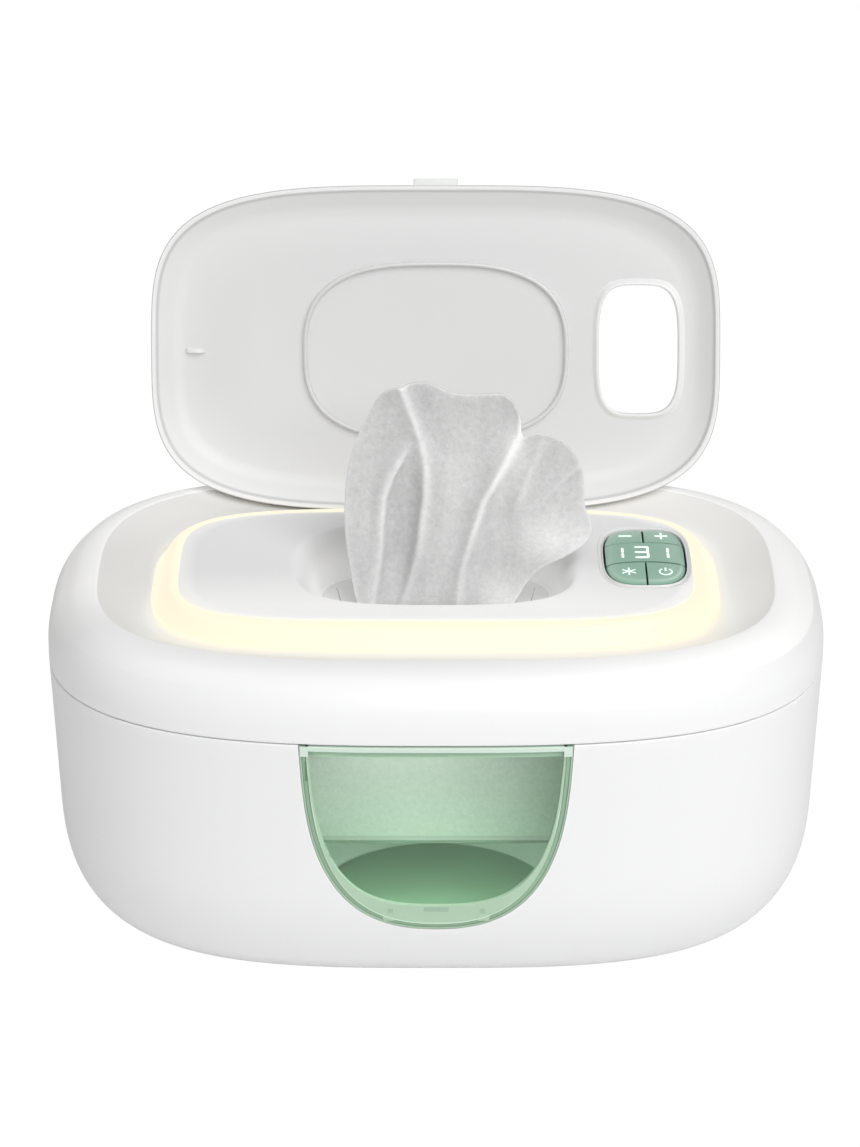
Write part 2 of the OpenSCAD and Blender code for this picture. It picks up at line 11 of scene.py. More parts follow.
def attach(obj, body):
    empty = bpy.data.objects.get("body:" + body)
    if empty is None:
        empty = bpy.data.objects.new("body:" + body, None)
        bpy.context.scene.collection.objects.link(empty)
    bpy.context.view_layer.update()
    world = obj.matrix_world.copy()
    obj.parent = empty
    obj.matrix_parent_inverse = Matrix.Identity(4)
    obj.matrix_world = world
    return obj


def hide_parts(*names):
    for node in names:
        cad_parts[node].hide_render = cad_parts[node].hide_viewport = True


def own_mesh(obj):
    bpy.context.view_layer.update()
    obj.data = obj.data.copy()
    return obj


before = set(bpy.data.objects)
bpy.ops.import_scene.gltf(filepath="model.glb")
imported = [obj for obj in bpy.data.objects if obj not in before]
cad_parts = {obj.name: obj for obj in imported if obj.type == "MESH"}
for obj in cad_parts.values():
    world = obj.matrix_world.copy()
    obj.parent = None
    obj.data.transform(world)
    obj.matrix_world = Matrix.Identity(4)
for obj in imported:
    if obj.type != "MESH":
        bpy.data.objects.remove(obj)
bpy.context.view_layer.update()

MM = 0.001

# ---- sizes that the moulded forms share with the construction ----

SEAM_HW, SEAM_HD, SEAM_Z, SEAM_N = 126.0, 87.6, 102.0, 2.87
BASE_DRAFT, FOOT_RX, FOOT_RZ, FOOT_POWER = 0.049, 68.5, 53.2, 2.545
FOOT_N = SEAM_N + 0.26
WALL, FLOOR_T, PAD_T, SEAM_GAP = 2.4, 2.2, 1.0, 0.4
WINDOW_HW, WINDOW_H = 42.6, 66.7
RIM_CURVE, PANE_CURVE = (2.32, 3.26, 0.086), (2.89, 3.56, 0.113)
TANK_HW, TANK_HD, TANK_N, TANK_T = 110.0, 68.0, 3.2, 1.4
TANK_FLOOR, TANK_TOP, TANK_FOOT_R, TANK_FOOT_H = 8.0, 98.6, 46.0, 34.0
DECK_HW, DECK_HD, DECK_Z, DECK_N, DECK_Y = 83.5, 43.5, 125.5, 4.2, -1.2
LIP_GROW, LIP_N, SHOULDER_RUN, CREST_RUN = 8.4, 3.4, 33.9, 15.9
MOUTH, THROAT = (48.6, 34.0, 2.95), (37.8, 27.0, 3.6)  # half sizes and squareness
PANEL_X, PANEL_Y, PANEL_HW, PANEL_HD, PANEL_N = 68.3, 4.2, 13.4, 22.35, 3.36
KEY_HW, KEY_HD, KEY_EDGE, KEY_INNER = PANEL_HW - 0.3, PANEL_HD - 0.35, 12.9, 0.3
ROW_SAG, FAR_SPLIT, NEAR_SPLIT, KEY_GAP = 2.3, 8.4, -7.2, 0.35
KEY_SHIFT = 0.9  # the rounded outline of the keys lies this far to the rear of the panel's middle
KEY_LOW, KEY_TOP = 123.2, 126.0
MEMBRANE_Z = 107.8
LID_HW, LID_HD, LID_N, RIM_Z = 96.0, 54.8, 3.67, 119.4
LID_AXIS_Y, LID_AXIS_Z, LID_OPEN, LID_HINGE_X, NOTCH_HW = 55.5, 119.4, 109.2, 17.0, 11.0
LINER_Z = 128.4
HOLE_X, HOLE_Y, HOLE_HW, HOLE_HD, HOLE_N = 68.85, 0.7, 13.45, 21.75, 3.6
RIB_HW, RIB_HD, RIB_N, RIB_Y = 44.7, 30.0, 2.8, 1.3
FIN_X = -81.5
LIFTER_Z, LIFTER_T, SPRING_X = 49.0, 2.0, 62.0
STACK_HW, STACK_HD, STACK_N, STACK_TOP = 94.0, 49.0, 5.0, 101.8
INLET_X, INLET_Z, INLET_R = 40.0, 56.0, 5.0
WIPE_FOOT = 109.0

AROUND = 240  # points round a moulded outline


# ---- shape helpers ----

def signed_power(value, power):
    return math.copysign(abs(value) ** power, value)


def oblong(a, b, n, count=AROUND):
    """A rounded oblong of half sizes a and b, squarer as n grows."""
    turns = [2 * math.pi * k / count for k in range(count)]
    return [(a * signed_power(math.cos(t), 2 / n), b * signed_power(math.sin(t), 2 / n)) for t in turns]


def shifted(outline, x, y):
    return [(p[0] + x, p[1] + y) for p in outline]


def at_height(outline, z):
    return [(p[0], p[1], z) for p in outline]


def mix(a, b, t):
    return a + (b - a) * t


def deck_outline(grow):
    """The deck's outline, grown outwards over the light ring to the cover's lip."""
    share = clamp(grow / LIP_GROW)
    return shifted(oblong(DECK_HW + grow, DECK_HD + grow, mix(DECK_N, LIP_N, share)), 0, DECK_Y)


def grow_at(x, y, hw, hd, n):
    """How far an oblong must grow (or shrink, below zero) for its edge to pass through a place."""
    low, high = 0.5 - min(hw, hd), 80.0
    for _ in range(18):
        grow = (low + high) / 2
        if (abs(x) / (hw + grow)) ** n + (abs(y) / (hd + grow)) ** n > 1:
            low = grow
        else:
            high = grow
    return (low + high) / 2


def clamp(value):
    return min(1.0, max(0.0, value))


def store_values(piece, name, values):
    piece.data.attributes.new(name, "FLOAT", "POINT").data.foreach_set("value", values)


def write_mask(piece, name, value):
    """Stores a value for each vertex of a piece, from its place in millimetres."""
    store_values(piece, name, [value(*(c / MM for c in vertex.co)) for vertex in piece.data.vertices])


def smooth_path(points, steps):
    """More points along a profile, on a curve through the given ones."""
    out = []
    for i in range(len(points) - 1):
        p0, p1 = points[max(i - 1, 0)], points[i]
        p2, p3 = points[i + 1], points[min(i + 2, len(points) - 1)]
        for k in range(steps):
            t = k / steps
            out.append(tuple(
                0.5 * (2 * b + (c - a) * t + (2 * a - 5 * b + 4 * c - d) * t * t
                       + (3 * b - a - 3 * c + d) * t ** 3)
                for a, b, c, d in zip(p0, p1, p2, p3)))
    out.append(tuple(points[-1]))
    return out


def finish_mesh(mesh, sharp_deg):
    """Evens the face directions, and shades smooth with hard edges kept."""
    work = bmesh.new()
    work.from_mesh(mesh)
    bmesh.ops.remove_doubles(work, verts=work.verts, dist=1e-6)
    bmesh.ops.recalc_face_normals(work, faces=work.faces)
    work.to_mesh(mesh)
    work.free()
    mesh.shade_smooth()
    mesh.set_sharp_from_angle(angle=math.radians(sharp_deg))
    mesh.update()


def add_object(name, data):
    thing = bpy.data.objects.new(name, data)
    bpy.context.scene.collection.objects.link(thing)
    return thing


def add_piece(name, vertices, faces, sharp_deg):
    mesh = bpy.data.meshes.new(name)
    mesh.from_pydata([(x * MM, y * MM, z * MM) for x, y, z in vertices], [], faces)
    finish_mesh(mesh, sharp_deg)
    return add_object(name, mesh)


def loft(name, rings, closed=False, sharp_deg=38):
    """A skin through rings of equal length. It is capped, or runs back to its first ring when closed."""
    size = len(rings[0])
    vertices = [p for ring in rings for p in ring]
    faces = []
    for i in range(len(rings) if closed else len(rings) - 1):
        j = (i + 1) % len(rings)
        for k in range(size):
            m = (k + 1) % size
            faces.append((i * size + k, i * size + m, j * size + m, j * size + k))
    if not closed:
        faces.append(tuple(range(size - 1, -1, -1)))
        faces.append(tuple((len(rings) - 1) * size + k for k in range(size)))
    return add_piece(name, vertices, faces, sharp_deg)


def grid_solid(name, front, back, sharp_deg=50):
    """A closed curved sheet from two grids of points of the same size."""
    rows, columns = len(front), len(front[0])
    vertices = [p for row in front for p in row] + [p for row in back for p in row]
    half = rows * columns
    faces = []
    for i in range(rows - 1):
        for k in range(columns - 1):
            a = i * columns + k
            b, c, d = a + 1, a + 1 + columns, a + columns
            faces.append((a, b, c, d))
            faces.append((half + a, half + d, half + c, half + b))
    edge = [(i, 0) for i in range(rows)] + [(rows - 1, k) for k in range(1, columns)]
    edge += [(i, columns - 1) for i in range(rows - 2, -1, -1)]
    edge += [(0, k) for k in range(columns - 2, 0, -1)]
    ring = [i * columns + k for i, k in edge]
    for a, b in zip(ring, ring[1:] + ring[:1]):
        faces.append((a, b, half + b, half + a))
    return add_piece(name, vertices, faces, sharp_deg)


def final_mesh(thing):
    """The mesh of an object with its modifiers or its curve worked out."""
    bpy.context.view_layer.update()
    return bpy.data.meshes.new_from_object(thing.evaluated_get(bpy.context.evaluated_depsgraph_get()))


def plate(name, outlines, z0, z1, edge):
    """A flat plate with softened edges. The first outline is its edge, and the others are holes in it."""
    curve = bpy.data.curves.new(name, "CURVE")
    curve.dimensions = "2D"
    curve.fill_mode = "BOTH"
    curve.extrude = (z1 - z0) / 2 * MM - edge * MM
    curve.bevel_depth = edge * MM
    curve.bevel_resolution = 2
    curve.offset = -edge * MM
    for outline in outlines:
        spline = curve.splines.new("POLY")
        spline.points.add(len(outline) - 1)
        for point, (x, y) in zip(spline.points, outline):
            point.co = (x * MM, y * MM, 0, 1)
        spline.use_cyclic_u = True
    holder = add_object(name + "_curve", curve)
    mesh = final_mesh(holder)
    bpy.data.objects.remove(holder)
    mesh.transform(Matrix.Translation((0, 0, (z0 + z1) / 2 * MM)))
    mesh.name = name
    finish_mesh(mesh, 30)
    return add_object(name, mesh)


def carve(piece, cutters):
    """Cuts each cutter out of a piece and removes the cutter."""
    for cutter in cutters:
        cut = piece.modifiers.new("cut", "BOOLEAN")
        cut.operation = "DIFFERENCE"
        cut.solver = "EXACT"
        cut.object = cutter
    mesh = final_mesh(piece)
    piece.modifiers.clear()
    old = piece.data
    mesh.name = old.name
    piece.data = mesh
    bpy.data.meshes.remove(old)
    for cutter in cutters:
        bpy.data.objects.remove(cutter)
    mesh.shade_smooth()
    mesh.set_sharp_from_angle(angle=math.radians(30))
    return piece


def prism(name, outline, z0, z1):
    return loft(name, [at_height(outline, z0), at_height(outline, z1)])


def wall_prism(name, outline, y0, y1):
    """A prism that runs along Y, from an outline of x and z."""
    return loft(name, [[(x, y0, z) for x, z in outline], [(x, y1, z) for x, z in outline]])


def block(name, low, high):
    (x0, y0, z0), (x1, y1, z1) = low, high
    return prism(name, [(x0, y0), (x1, y0), (x1, y1), (x0, y1)], z0, z1)


def open_lid(piece):
    """Turns a piece that was made on the closed lid to where the lid stands."""
    pivot = Vector((0, LID_AXIS_Y * MM, LID_AXIS_Z * MM))
    turn = Matrix.Rotation(math.radians(-LID_OPEN), 4, "X")
    piece.data.transform(Matrix.Translation(pivot) @ turn @ Matrix.Translation(-pivot))
    piece.data.update()
    return piece


def dress(piece, body, material, stands_for=()):
    """Gives a piece its finish, the body that it rides on, and the nodes that it stands for."""
    piece.data.materials.clear()
    piece.data.materials.append(material)
    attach(piece, body)
    if stands_for:
        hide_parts(*stands_for)
    return piece


# ---- camera, lamps and floor ----

CAMERA_AT = (-1.92, -1272.9, 692.4)
CAMERA_PITCH = 24.15  # degrees below level
LENS_MM = 134.16
AMBIENT, PLAIN_SKY, PLAIN_FLOOR = 0.335, 1.05, 1.03
FLOOR_TONE, FLOOR_SHARE = 0.96, 0.97

# Each lamp: where it stands and what it points at in metres, its size in metres and its power in watts.
STUDIO_LAMPS = {
    "key_softbox": ((0.85, -1.6, 1.85), (0, 0, 0.1), 2.2, 47),
    "top_left_fill": ((-1.1, -0.5, 1.9), (0, 0, 0.1), 1.4, 4.5)}
TANK_LAMPS = {
    "tank_face_light": ((-0.012, -0.067, 0.096), (-0.008, -0.048, 0.055), 0.05, 0.0102),
    "tank_floor_light": ((0, -0.052, 0.043), (0, -0.05, 0.008), 0.05, 0.052)}


def wire(tree, node, inputs):
    """Sets a node's inputs, each from a plain value or from the socket that feeds it."""
    for name, value in inputs.items():
        if isinstance(value, bpy.types.NodeSocket):
            tree.links.new(value, node.inputs[name])
        else:
            node.inputs[name].default_value = value
    return node


def put(tree, kind, inputs=None, **settings):
    """Adds a shader node with its settings and its inputs."""
    node = tree.nodes.new("ShaderNode" + kind)
    for name, value in settings.items():
        setattr(node, name, value)
    return wire(tree, node, inputs or {})


def set_camera():
    data = bpy.data.cameras.new("camera")
    data.lens, data.sensor_width, data.clip_start = LENS_MM, 36, 0.05
    camera = add_object("camera", data)
    camera.location = [v * MM for v in CAMERA_AT]
    camera.rotation_euler = (math.radians(90 - CAMERA_PITCH), 0, 0)
    bpy.context.scene.camera = camera


def add_lamp(name, place, aim, size, power, hidden=False):
    data = bpy.data.lights.new(name, "AREA")
    data.shape, data.size, data.energy = "DISK", size, power
    lamp = add_object(name, data)
    lamp.location = place
    lamp.rotation_euler = (Vector(aim) - Vector(place)).to_track_quat("-Z", "Y").to_euler()
    if hidden:
        lamp.visible_camera = lamp.visible_glossy = lamp.visible_transmission = False


def seen_directly(tree):
    """A mask that is 1 for rays from the camera, and for rays through glass that show the background."""
    path = put(tree, "LightPath").outputs
    seen = put(tree, "Math", {0: path["Is Camera Ray"], 1: path["Is Transmission Ray"]}, operation="MAXIMUM")
    return seen.outputs[0]


def set_world():
    world = bpy.data.worlds.new("studio")
    world.use_nodes = True
    tree = world.node_tree
    tree.nodes.clear()
    soft = put(tree, "Background", {"Color": (1.0, 0.995, 0.985, 1), "Strength": AMBIENT})
    plain = put(tree, "Background", {"Strength": PLAIN_SKY})
    choose = put(tree, "MixShader", {0: seen_directly(tree), 1: soft.outputs[0], 2: plain.outputs[0]})
    put(tree, "OutputWorld", {0: choose.outputs[0]})
    bpy.context.scene.world = world


def add_floor():
    """A matt floor that takes the shadows, and shows almost plain white to the camera."""
    bpy.ops.mesh.primitive_grid_add(x_subdivisions=8, y_subdivisions=8, size=12, location=(0, 2, 0))
    floor = bpy.context.object
    floor.name = "floor"
    material = bpy.data.materials.new("pale_floor")
    material.use_nodes = True
    tree = material.node_tree
    tree.nodes.clear()
    matt = put(tree, "BsdfDiffuse", {"Color": (FLOOR_TONE, FLOOR_TONE, FLOOR_TONE, 1)})
    plain = put(tree, "Emission", {"Strength": PLAIN_FLOOR})
    share = put(tree, "Math", {0: seen_directly(tree), 1: FLOOR_SHARE}, operation="MULTIPLY")
    choose = put(tree, "MixShader", {0: share.outputs[0], 1: matt.outputs[0], 2: plain.outputs[0]})
    put(tree, "OutputMaterial", {0: choose.outputs[0]})
    floor.data.materials.append(material)


# ---- finishes ----

def make_group(name, inputs, outputs):
    """A node group with named number sockets. Gives the group and the sockets that bring its inputs."""
    group = bpy.data.node_groups.new(name, "ShaderNodeTree")
    for label, default in inputs.items():
        socket = group.interface.new_socket(label, in_out="INPUT", socket_type="NodeSocketFloat")
        socket.default_value = default
    for label in outputs:
        group.interface.new_socket(label, in_out="OUTPUT", socket_type="NodeSocketFloat")
    return group, group.nodes.new("NodeGroupInput").outputs


def close_group(group, results):
    wire(group, group.nodes.new("NodeGroupOutput"), results)
    return group


def grain_group():
    """Fine moulded grain: a height, and a slow tone that changes over the surface."""
    scales = {"Grain Scale": 900.0, "Tone Scale": 9.0}
    group, given = make_group("moulded_grain", scales, ("Height", "Tone"))
    place = put(group, "TexCoord").outputs["Object"]
    fine = put(group, "TexNoise", {"Vector": place, "Scale": given["Grain Scale"], "Detail": 3})
    slow = put(group, "TexNoise", {"Vector": place, "Scale": given["Tone Scale"], "Detail": 2})
    return close_group(group, {"Height": fine.outputs["Fac"], "Tone": slow.outputs["Fac"]})


def wear_group():
    """Handling wear: masks of lightly rubbed edges and of faint smudges."""
    scales = {"Smudge Scale": 30.0, "Edge Share": 0.5}
    group, given = make_group("handling_wear", scales, ("Edges", "Smudges"))
    sharp = put(group, "NewGeometry").outputs["Pointiness"]
    edge = put(group, "MapRange", {"Value": sharp, "From Min": 0.52, "From Max": 0.62})
    share = put(group, "Math", {0: edge.outputs["Result"], 1: given["Edge Share"]}, operation="MULTIPLY")
    place = put(group, "TexCoord").outputs["Object"]
    smudge = put(group, "TexNoise", {"Vector": place, "Scale": given["Smudge Scale"], "Detail": 4})
    keep = put(group, "MapRange", {"Value": smudge.outputs["Fac"], "From Min": 0.5, "From Max": 0.75})
    return close_group(group, {"Edges": share.outputs[0], "Smudges": keep.outputs["Result"]})


def height_group():
    """A mask that rises from 0 to 1 between two heights of the piece."""
    group, given = make_group("height_mask", {"Low": 0.1, "High": 0.2}, ("Mask",))
    place = put(group, "TexCoord").outputs["Object"]
    height = put(group, "SeparateXYZ", {"Vector": place}).outputs["Z"]
    ramp = put(group, "MapRange", {"Value": height, "From Min": given["Low"], "From Max": given["High"]},
               interpolation_type="SMOOTHSTEP")
    return close_group(group, {"Mask": ramp.outputs["Result"]})


GRAIN, WEAR, HEIGHT = grain_group(), wear_group(), height_group()


def by_height(tree, low, high):
    return put(tree, "Group", {"Low": low * MM, "High": high * MM}, node_tree=HEIGHT).outputs["Mask"]


def stored_mask(tree, name):
    return put(tree, "Attribute", attribute_name=name).outputs["Fac"]


def two_tones(tree, mask, dark, light):
    """A colour between two tones by a mask. Each tone is three numbers or a socket."""
    dark, light = (c if isinstance(c, bpy.types.NodeSocket) else (*c, 1) for c in (dark, light))
    return put(tree, "Mix", {0: mask, 6: dark, 7: light}, data_type="RGBA").outputs[2]


def bump(tree, height, strength, distance):
    made = put(tree, "Bump", {"Strength": strength, "Distance": distance, "Height": height})
    return made.outputs["Normal"]


def new_material(name):
    material = bpy.data.materials.new(name)
    material.use_nodes = True
    return material, material.node_tree, material.node_tree.nodes["Principled BSDF"]


def moulded(name, colour, roughness, grain_depth=0.00002, grain_scale=900.0, tone=0.02, coat=0.0):
    """A moulded plastic or rubber: grain, a slow drift of tone, rubbed edges and smudged gloss."""
    material, tree, shader = new_material(name)
    grain = put(tree, "Group", {"Grain Scale": grain_scale}, node_tree=GRAIN).outputs
    wear = put(tree, "Group", node_tree=WEAR).outputs
    dark, light, pale = ([min(1.0, c * gain + lift) for c in colour]
                         for gain, lift in ((1 - tone, 0), (1 + tone, 0), (1.06, 0.01)))
    rubbed = two_tones(tree, wear["Edges"], two_tones(tree, grain["Tone"], dark, light), pale)
    smudged = min(1.0, roughness * 1.25)
    gloss = put(tree, "MapRange", {"Value": wear["Smudges"], "To Min": roughness, "To Max": smudged})
    wire(tree, shader, {
        "Base Color": rubbed, "Roughness": gloss.outputs["Result"], "Coat Weight": coat,
        "Normal": bump(tree, grain["Height"], 0.35, grain_depth)})
    return material


def clear_green(name, colour, roughness=0.55, tone=0.04, coat=0.0):
    """The smooth green plastic of the window's rim."""
    return moulded(name, colour, roughness, 0.00001, 600.0, tone, coat)


def base_colour(material):
    return material.node_tree.nodes["Principled BSDF"].inputs["Base Color"]


def toned_where(material, mask, tone):
    """Gives a moulded plastic another tone where a stored mask says."""
    tree, base = material.node_tree, base_colour(material)
    tree.links.new(two_tones(tree, stored_mask(tree, mask), base.links[0].from_socket, tone), base)
    return material


def keys_with_painted_shade():
    """The keys' green plastic, with painted shade on the low sides of each cap and along the seams between
    them, and a painted highlight along their near edge.
    """
    material = moulded("sage_key_plastic", (0.30, 0.505, 0.39), 0.28, 0.000012, 1200.0, 0.03, 0.35)
    tree, base = material.node_tree, base_colour(material)
    top = put(tree, "Math", {0: by_height(tree, 124.9, 125.5), 1: stored_mask(tree, "seam_shade")},
              operation="SUBTRACT", use_clamp=True).outputs[0]
    # painted shade: dark green on the low sides of each cap and along the row seams
    tree.links.new(two_tones(tree, top, (0.07, 0.17, 0.11), base.links[0].from_socket), base)
    # painted highlight: a pale green band along the keys' near edge
    return toned_where(material, "edge_light", (0.62, 0.80, 0.70))


def paint_light_emission(material, mask, stops):
    """Paints light on a pale plastic as a faint emission, in colours along a mask.

    The mask is the name of a stored one, or a pair of heights."""
    tree = material.node_tree
    source = stored_mask(tree, mask) if isinstance(mask, str) else by_height(tree, *mask)
    ramp = put(tree, "ValToRGB", {"Fac": source})
    elements = ramp.color_ramp.elements
    elements[0].color = (0, 0, 0, 1)
    elements[-1].color = (*stops[-1][1], 1)
    for place, colour in stops[:-1]:
        elements.new(place).color = (*colour, 1)
    shader = tree.nodes["Principled BSDF"]
    # painted light: emission in place of light and shade on the plastic
    wire(tree, shader, {"Emission Color": ramp.outputs["Color"], "Emission Strength": 1.0})
    return material


def warm_light():
    """The milky light guide: warm white, a little brighter in slow patches."""
    material, tree, shader = new_material("warm_light_guide")
    grain = put(tree, "Group", {"Tone Scale": 14.0}, node_tree=GRAIN).outputs
    wire(tree, shader, {
        "Base Color": two_tones(tree, grain["Tone"], (0.24, 0.23, 0.17), (0.27, 0.26, 0.20)),
        "Emission Color": two_tones(tree, grain["Tone"], (1.0, 0.90, 0.69), (1.0, 0.925, 0.73)),
        "Normal": bump(tree, grain["Height"], 0.2, 0.00002),
        "Emission Strength": 0.80, "Roughness": 0.45})
    return material


def lit_symbol():
    material, tree, shader = new_material("lit_symbol")
    grain = put(tree, "Group", node_tree=GRAIN).outputs
    glow = two_tones(tree, grain["Tone"], (0.78, 0.98, 0.87), (0.86, 1.0, 0.93))
    wire(tree, shader, {
        "Base Color": glow, "Emission Color": glow, "Emission Strength": 0.5, "Roughness": 0.5})
    return material


def tinted_clear(name, colour, roughness):
    """Clear tinted plastic with faint flow marks."""
    material, tree, shader = new_material(name)
    grain = put(tree, "Group", {"Tone Scale": 25.0}, node_tree=GRAIN).outputs
    wire(tree, shader, {
        "Base Color": two_tones(tree, grain["Tone"], [c * 0.97 for c in colour], colour),
        "Normal": bump(tree, grain["Tone"], 0.05, 0.0002),
        "Roughness": roughness, "Transmission Weight": 1.0, "IOR": 1.46})
    return material


def metal(name, colour, roughness, stretch, metallic=1.0):
    """Metal with fine drawn or spun lines along one axis."""
    material, tree, shader = new_material(name)
    place = put(tree, "TexCoord").outputs["Object"]
    drawn = put(tree, "Mapping", {"Vector": place, "Scale": stretch}).outputs["Vector"]
    lines = put(tree, "TexNoise", {"Vector": drawn, "Scale": 40, "Detail": 5}).outputs["Fac"]
    rough = put(tree, "MapRange", {"Value": lines, "To Min": roughness * 0.8, "To Max": roughness * 1.3})
    wire(tree, shader, {
        "Base Color": two_tones(tree, lines, [c * 0.85 for c in colour], colour),
        "Normal": bump(tree, lines, 0.15, 0.00003),
        "Roughness": rough.outputs["Result"], "Metallic": metallic})
    return material


def damp_cloth(name, dark, light):
    """Non-woven cloth: matted fibres, tiny pits and cloudy patches, with painted light and shade from a
    stored mask, paler on the crests of its folds.
    """
    material, tree, shader = new_material(name)
    place = put(tree, "TexCoord").outputs["Object"]
    fibres = put(tree, "TexNoise", {"Vector": place, "Scale": 1100, "Detail": 6, "Distortion": 1.5})
    clouds = put(tree, "TexNoise", {
        "Vector": place, "Scale": 560, "Detail": 9, "Roughness": 0.68, "Distortion": 0.6})
    pits = put(tree, "TexVoronoi", {"Vector": place, "Scale": 900})
    mottle = put(tree, "MapRange", {"Value": clouds.outputs["Fac"], "From Min": 0.3, "From Max": 0.7,
                                    "To Min": -0.15, "To Max": 0.15})
    painted_light_and_mottle = put(tree, "Math", {0: stored_mask(tree, "painted_cloth_light"), 1: mottle.outputs["Result"]},
                  operation="ADD", use_clamp=True)
    relief = put(tree, "Math", {0: fibres.outputs["Fac"], 1: pits.outputs["Distance"]}, operation="ADD")
    wire(tree, shader, {
        "Base Color": two_tones(tree, painted_light_and_mottle.outputs[0], dark, light),
        "Normal": bump(tree, relief.outputs[0], 0.35, 0.00015), "Roughness": 0.9, "Sheen Weight": 0.1})
    return material


# Painted light: the colours of the light guide's glow painted on the plastic round it, from far to near.
PAINTED_GLOW_STOPS = [(0.3, (0.165, 0.162, 0.152)), (1, (0.30, 0.245, 0.10))]

WHITE = moulded("white_moulded_shell", (0.868, 0.87, 0.874), 0.36, coat=0.1)
# The cover: painted shade in its dish, and painted light for the guide's glow and on its crest.
COVER_WHITE = toned_where(moulded("white_cover_shell", (0.885, 0.887, 0.891), 0.36, coat=0.1),
                          "dish_painted_shade", (0.765, 0.762, 0.752))
paint_light_emission(COVER_WHITE, "painted_ring_light", PAINTED_GLOW_STOPS)
# The lid: a darker grey base with painted light on its inside, a faint emission from the stored mask, and
# its own white only on the outer face. The thin line of its rim keeps the darker grey as painted shade.
LID_WHITE = moulded("white_lid", (0.54, 0.541, 0.543), 0.42)
toned_where(LID_WHITE, "outer_face", (0.86, 0.862, 0.866))
paint_light_emission(LID_WHITE, "lid_inside_painted_light", [(1, (0.34, 0.34, 0.336))])
# The seal rib: a grey darker than the lid, as painted shade on its flanks.
RIB_WHITE = moulded("white_seal_rib_painted_shade", (0.70, 0.70, 0.70), 0.25, coat=0.6)
LID_GLOSS = moulded("white_lid_rims", (0.80, 0.80, 0.80), 0.3, coat=0.2)
# The deck: painted light for the guide's glow, the deck's front and the funnel's wall.
DECK_WHITE = paint_light_emission(moulded("white_deck", (0.835, 0.835, 0.84), 0.42), "painted_ring_light", PAINTED_GLOW_STOPS)
INNER_WHITE = moulded("pale_inner_plastic", (0.78, 0.80, 0.78), 0.6)
RUBBER = moulded("grey_pad_rubber", (0.36, 0.37, 0.38), 0.7, 0.00006, 1400.0, 0.06)
SILICONE = moulded("milky_silicone", (0.60, 0.61, 0.605), 0.5, 0.00002, 700.0, 0.03)
# The membrane: painted light, a faint emission that grows with height.
MEMBRANE = paint_light_emission(moulded("milky_membrane", (0.70, 0.705, 0.70), 0.5, 0.00002, 700.0, 0.03),
                         (100, 108), [(1, (0.11, 0.109, 0.106))])
BLACK = moulded("black_plastic", (0.025, 0.025, 0.028), 0.45, 0.00004, 1500.0, 0.1)
BOARD = moulded("circuit_board_lacquer", (0.03, 0.16, 0.08), 0.35, 0.00002, 1200.0, 0.12)
FILM = moulded("amber_heater_film", (0.45, 0.2, 0.05), 0.3, 0.00002, 500.0, 0.08)
FELT = moulded("insulation_felt", (0.62, 0.58, 0.5), 0.95, 0.0004, 800.0, 0.1)
KEY_GREEN = keys_with_painted_shade()
RIM_GREEN = clear_green("clear_green_rim", (0.28, 0.43, 0.30), 0.4, 0.1, 0.05)
SILL_GREEN = clear_green("pale_green_sill", (0.44, 0.61, 0.45))
BAR_GREEN = clear_green("light_green_bar", (0.65, 0.775, 0.68))
# A bright green for a painted highlight along the window's sill.
HIGHLIGHT_GREEN = clear_green("painted_highlight_green", (0.66, 0.84, 0.67), 0.5, 0.03)
CLIP_GREEN = clear_green("shaded_green_clip", (0.35, 0.51, 0.37), 0.4)
# A dark green for painted shade: the slot on the window's rim, and the shadow band under the wipes' tray.
SHADE_GREEN = clear_green("painted_shade_green", (0.13, 0.23, 0.14), 0.5, 0.06)
WINDOW_GREEN = tinted_clear("green_window_plastic", (0.715, 0.82, 0.73), 0.03)
GLOW = warm_light()
SYMBOL = lit_symbol()
STEEL = metal("plated_steel", (0.62, 0.63, 0.64), 0.3, (1, 12, 12))
PLATE_METAL = metal("coated_aluminium", (0.285, 0.49, 0.315), 0.6, (3, 3, 20), 0.3)
TRAY_GREEN = moulded("pale_green_tray", (0.36, 0.42, 0.37), 0.55)
TANK_GREEN = moulded("pale_green_tank", (0.82, 0.99, 0.85), 0.55)
# Cloth tones: the stored mask paints light and shade between the dark and the light tone.
CLOTH = damp_cloth("damp_non_woven_cloth", (0.49, 0.495, 0.495), (0.95, 0.95, 0.95))
# The stack's cloth, with a green-grey dark tone for its painted shade.
STACK_CLOTH = damp_cloth("stacked_non_woven_cloth", (0.31, 0.45, 0.32), (0.76, 0.755, 0.755))


# ---- base ----

def foot_curve(z):
    if z >= FOOT_RZ:
        return 0.0
    return 1 - (1 - ((FOOT_RZ - z) / FOOT_RZ) ** FOOT_POWER) ** (1 / FOOT_POWER)


def base_inset(z):
    return BASE_DRAFT * (SEAM_Z - z) + FOOT_RX * foot_curve(z)


def base_n(z):
    return mix(FOOT_N, SEAM_N, z / SEAM_Z)


def base_ring(z, extra=0.0, up=0.0):
    inset = base_inset(z - up) + extra
    return at_height(oblong(SEAM_HW - inset, SEAM_HD - inset, base_n(z - up)), z)


def front_y(x, z):
    """The base's front surface at a place of its elevation."""
    inset, n = base_inset(z), base_n(z)
    return -(SEAM_HD - inset) * (1 - (abs(x) / (SEAM_HW - inset)) ** n) ** (1 / n)


def window_side(angle, hw, h, curve, drop=0.0):
    """A point of the window's rounded outline, from its left top round to its right top."""
    t = math.radians(angle)
    down = abs(math.sin(t)) ** (2 / curve[1])
    return hw * signed_power(math.cos(t), 2 / curve[0]) * (1 - curve[2] * down), SEAM_Z - drop - h * down


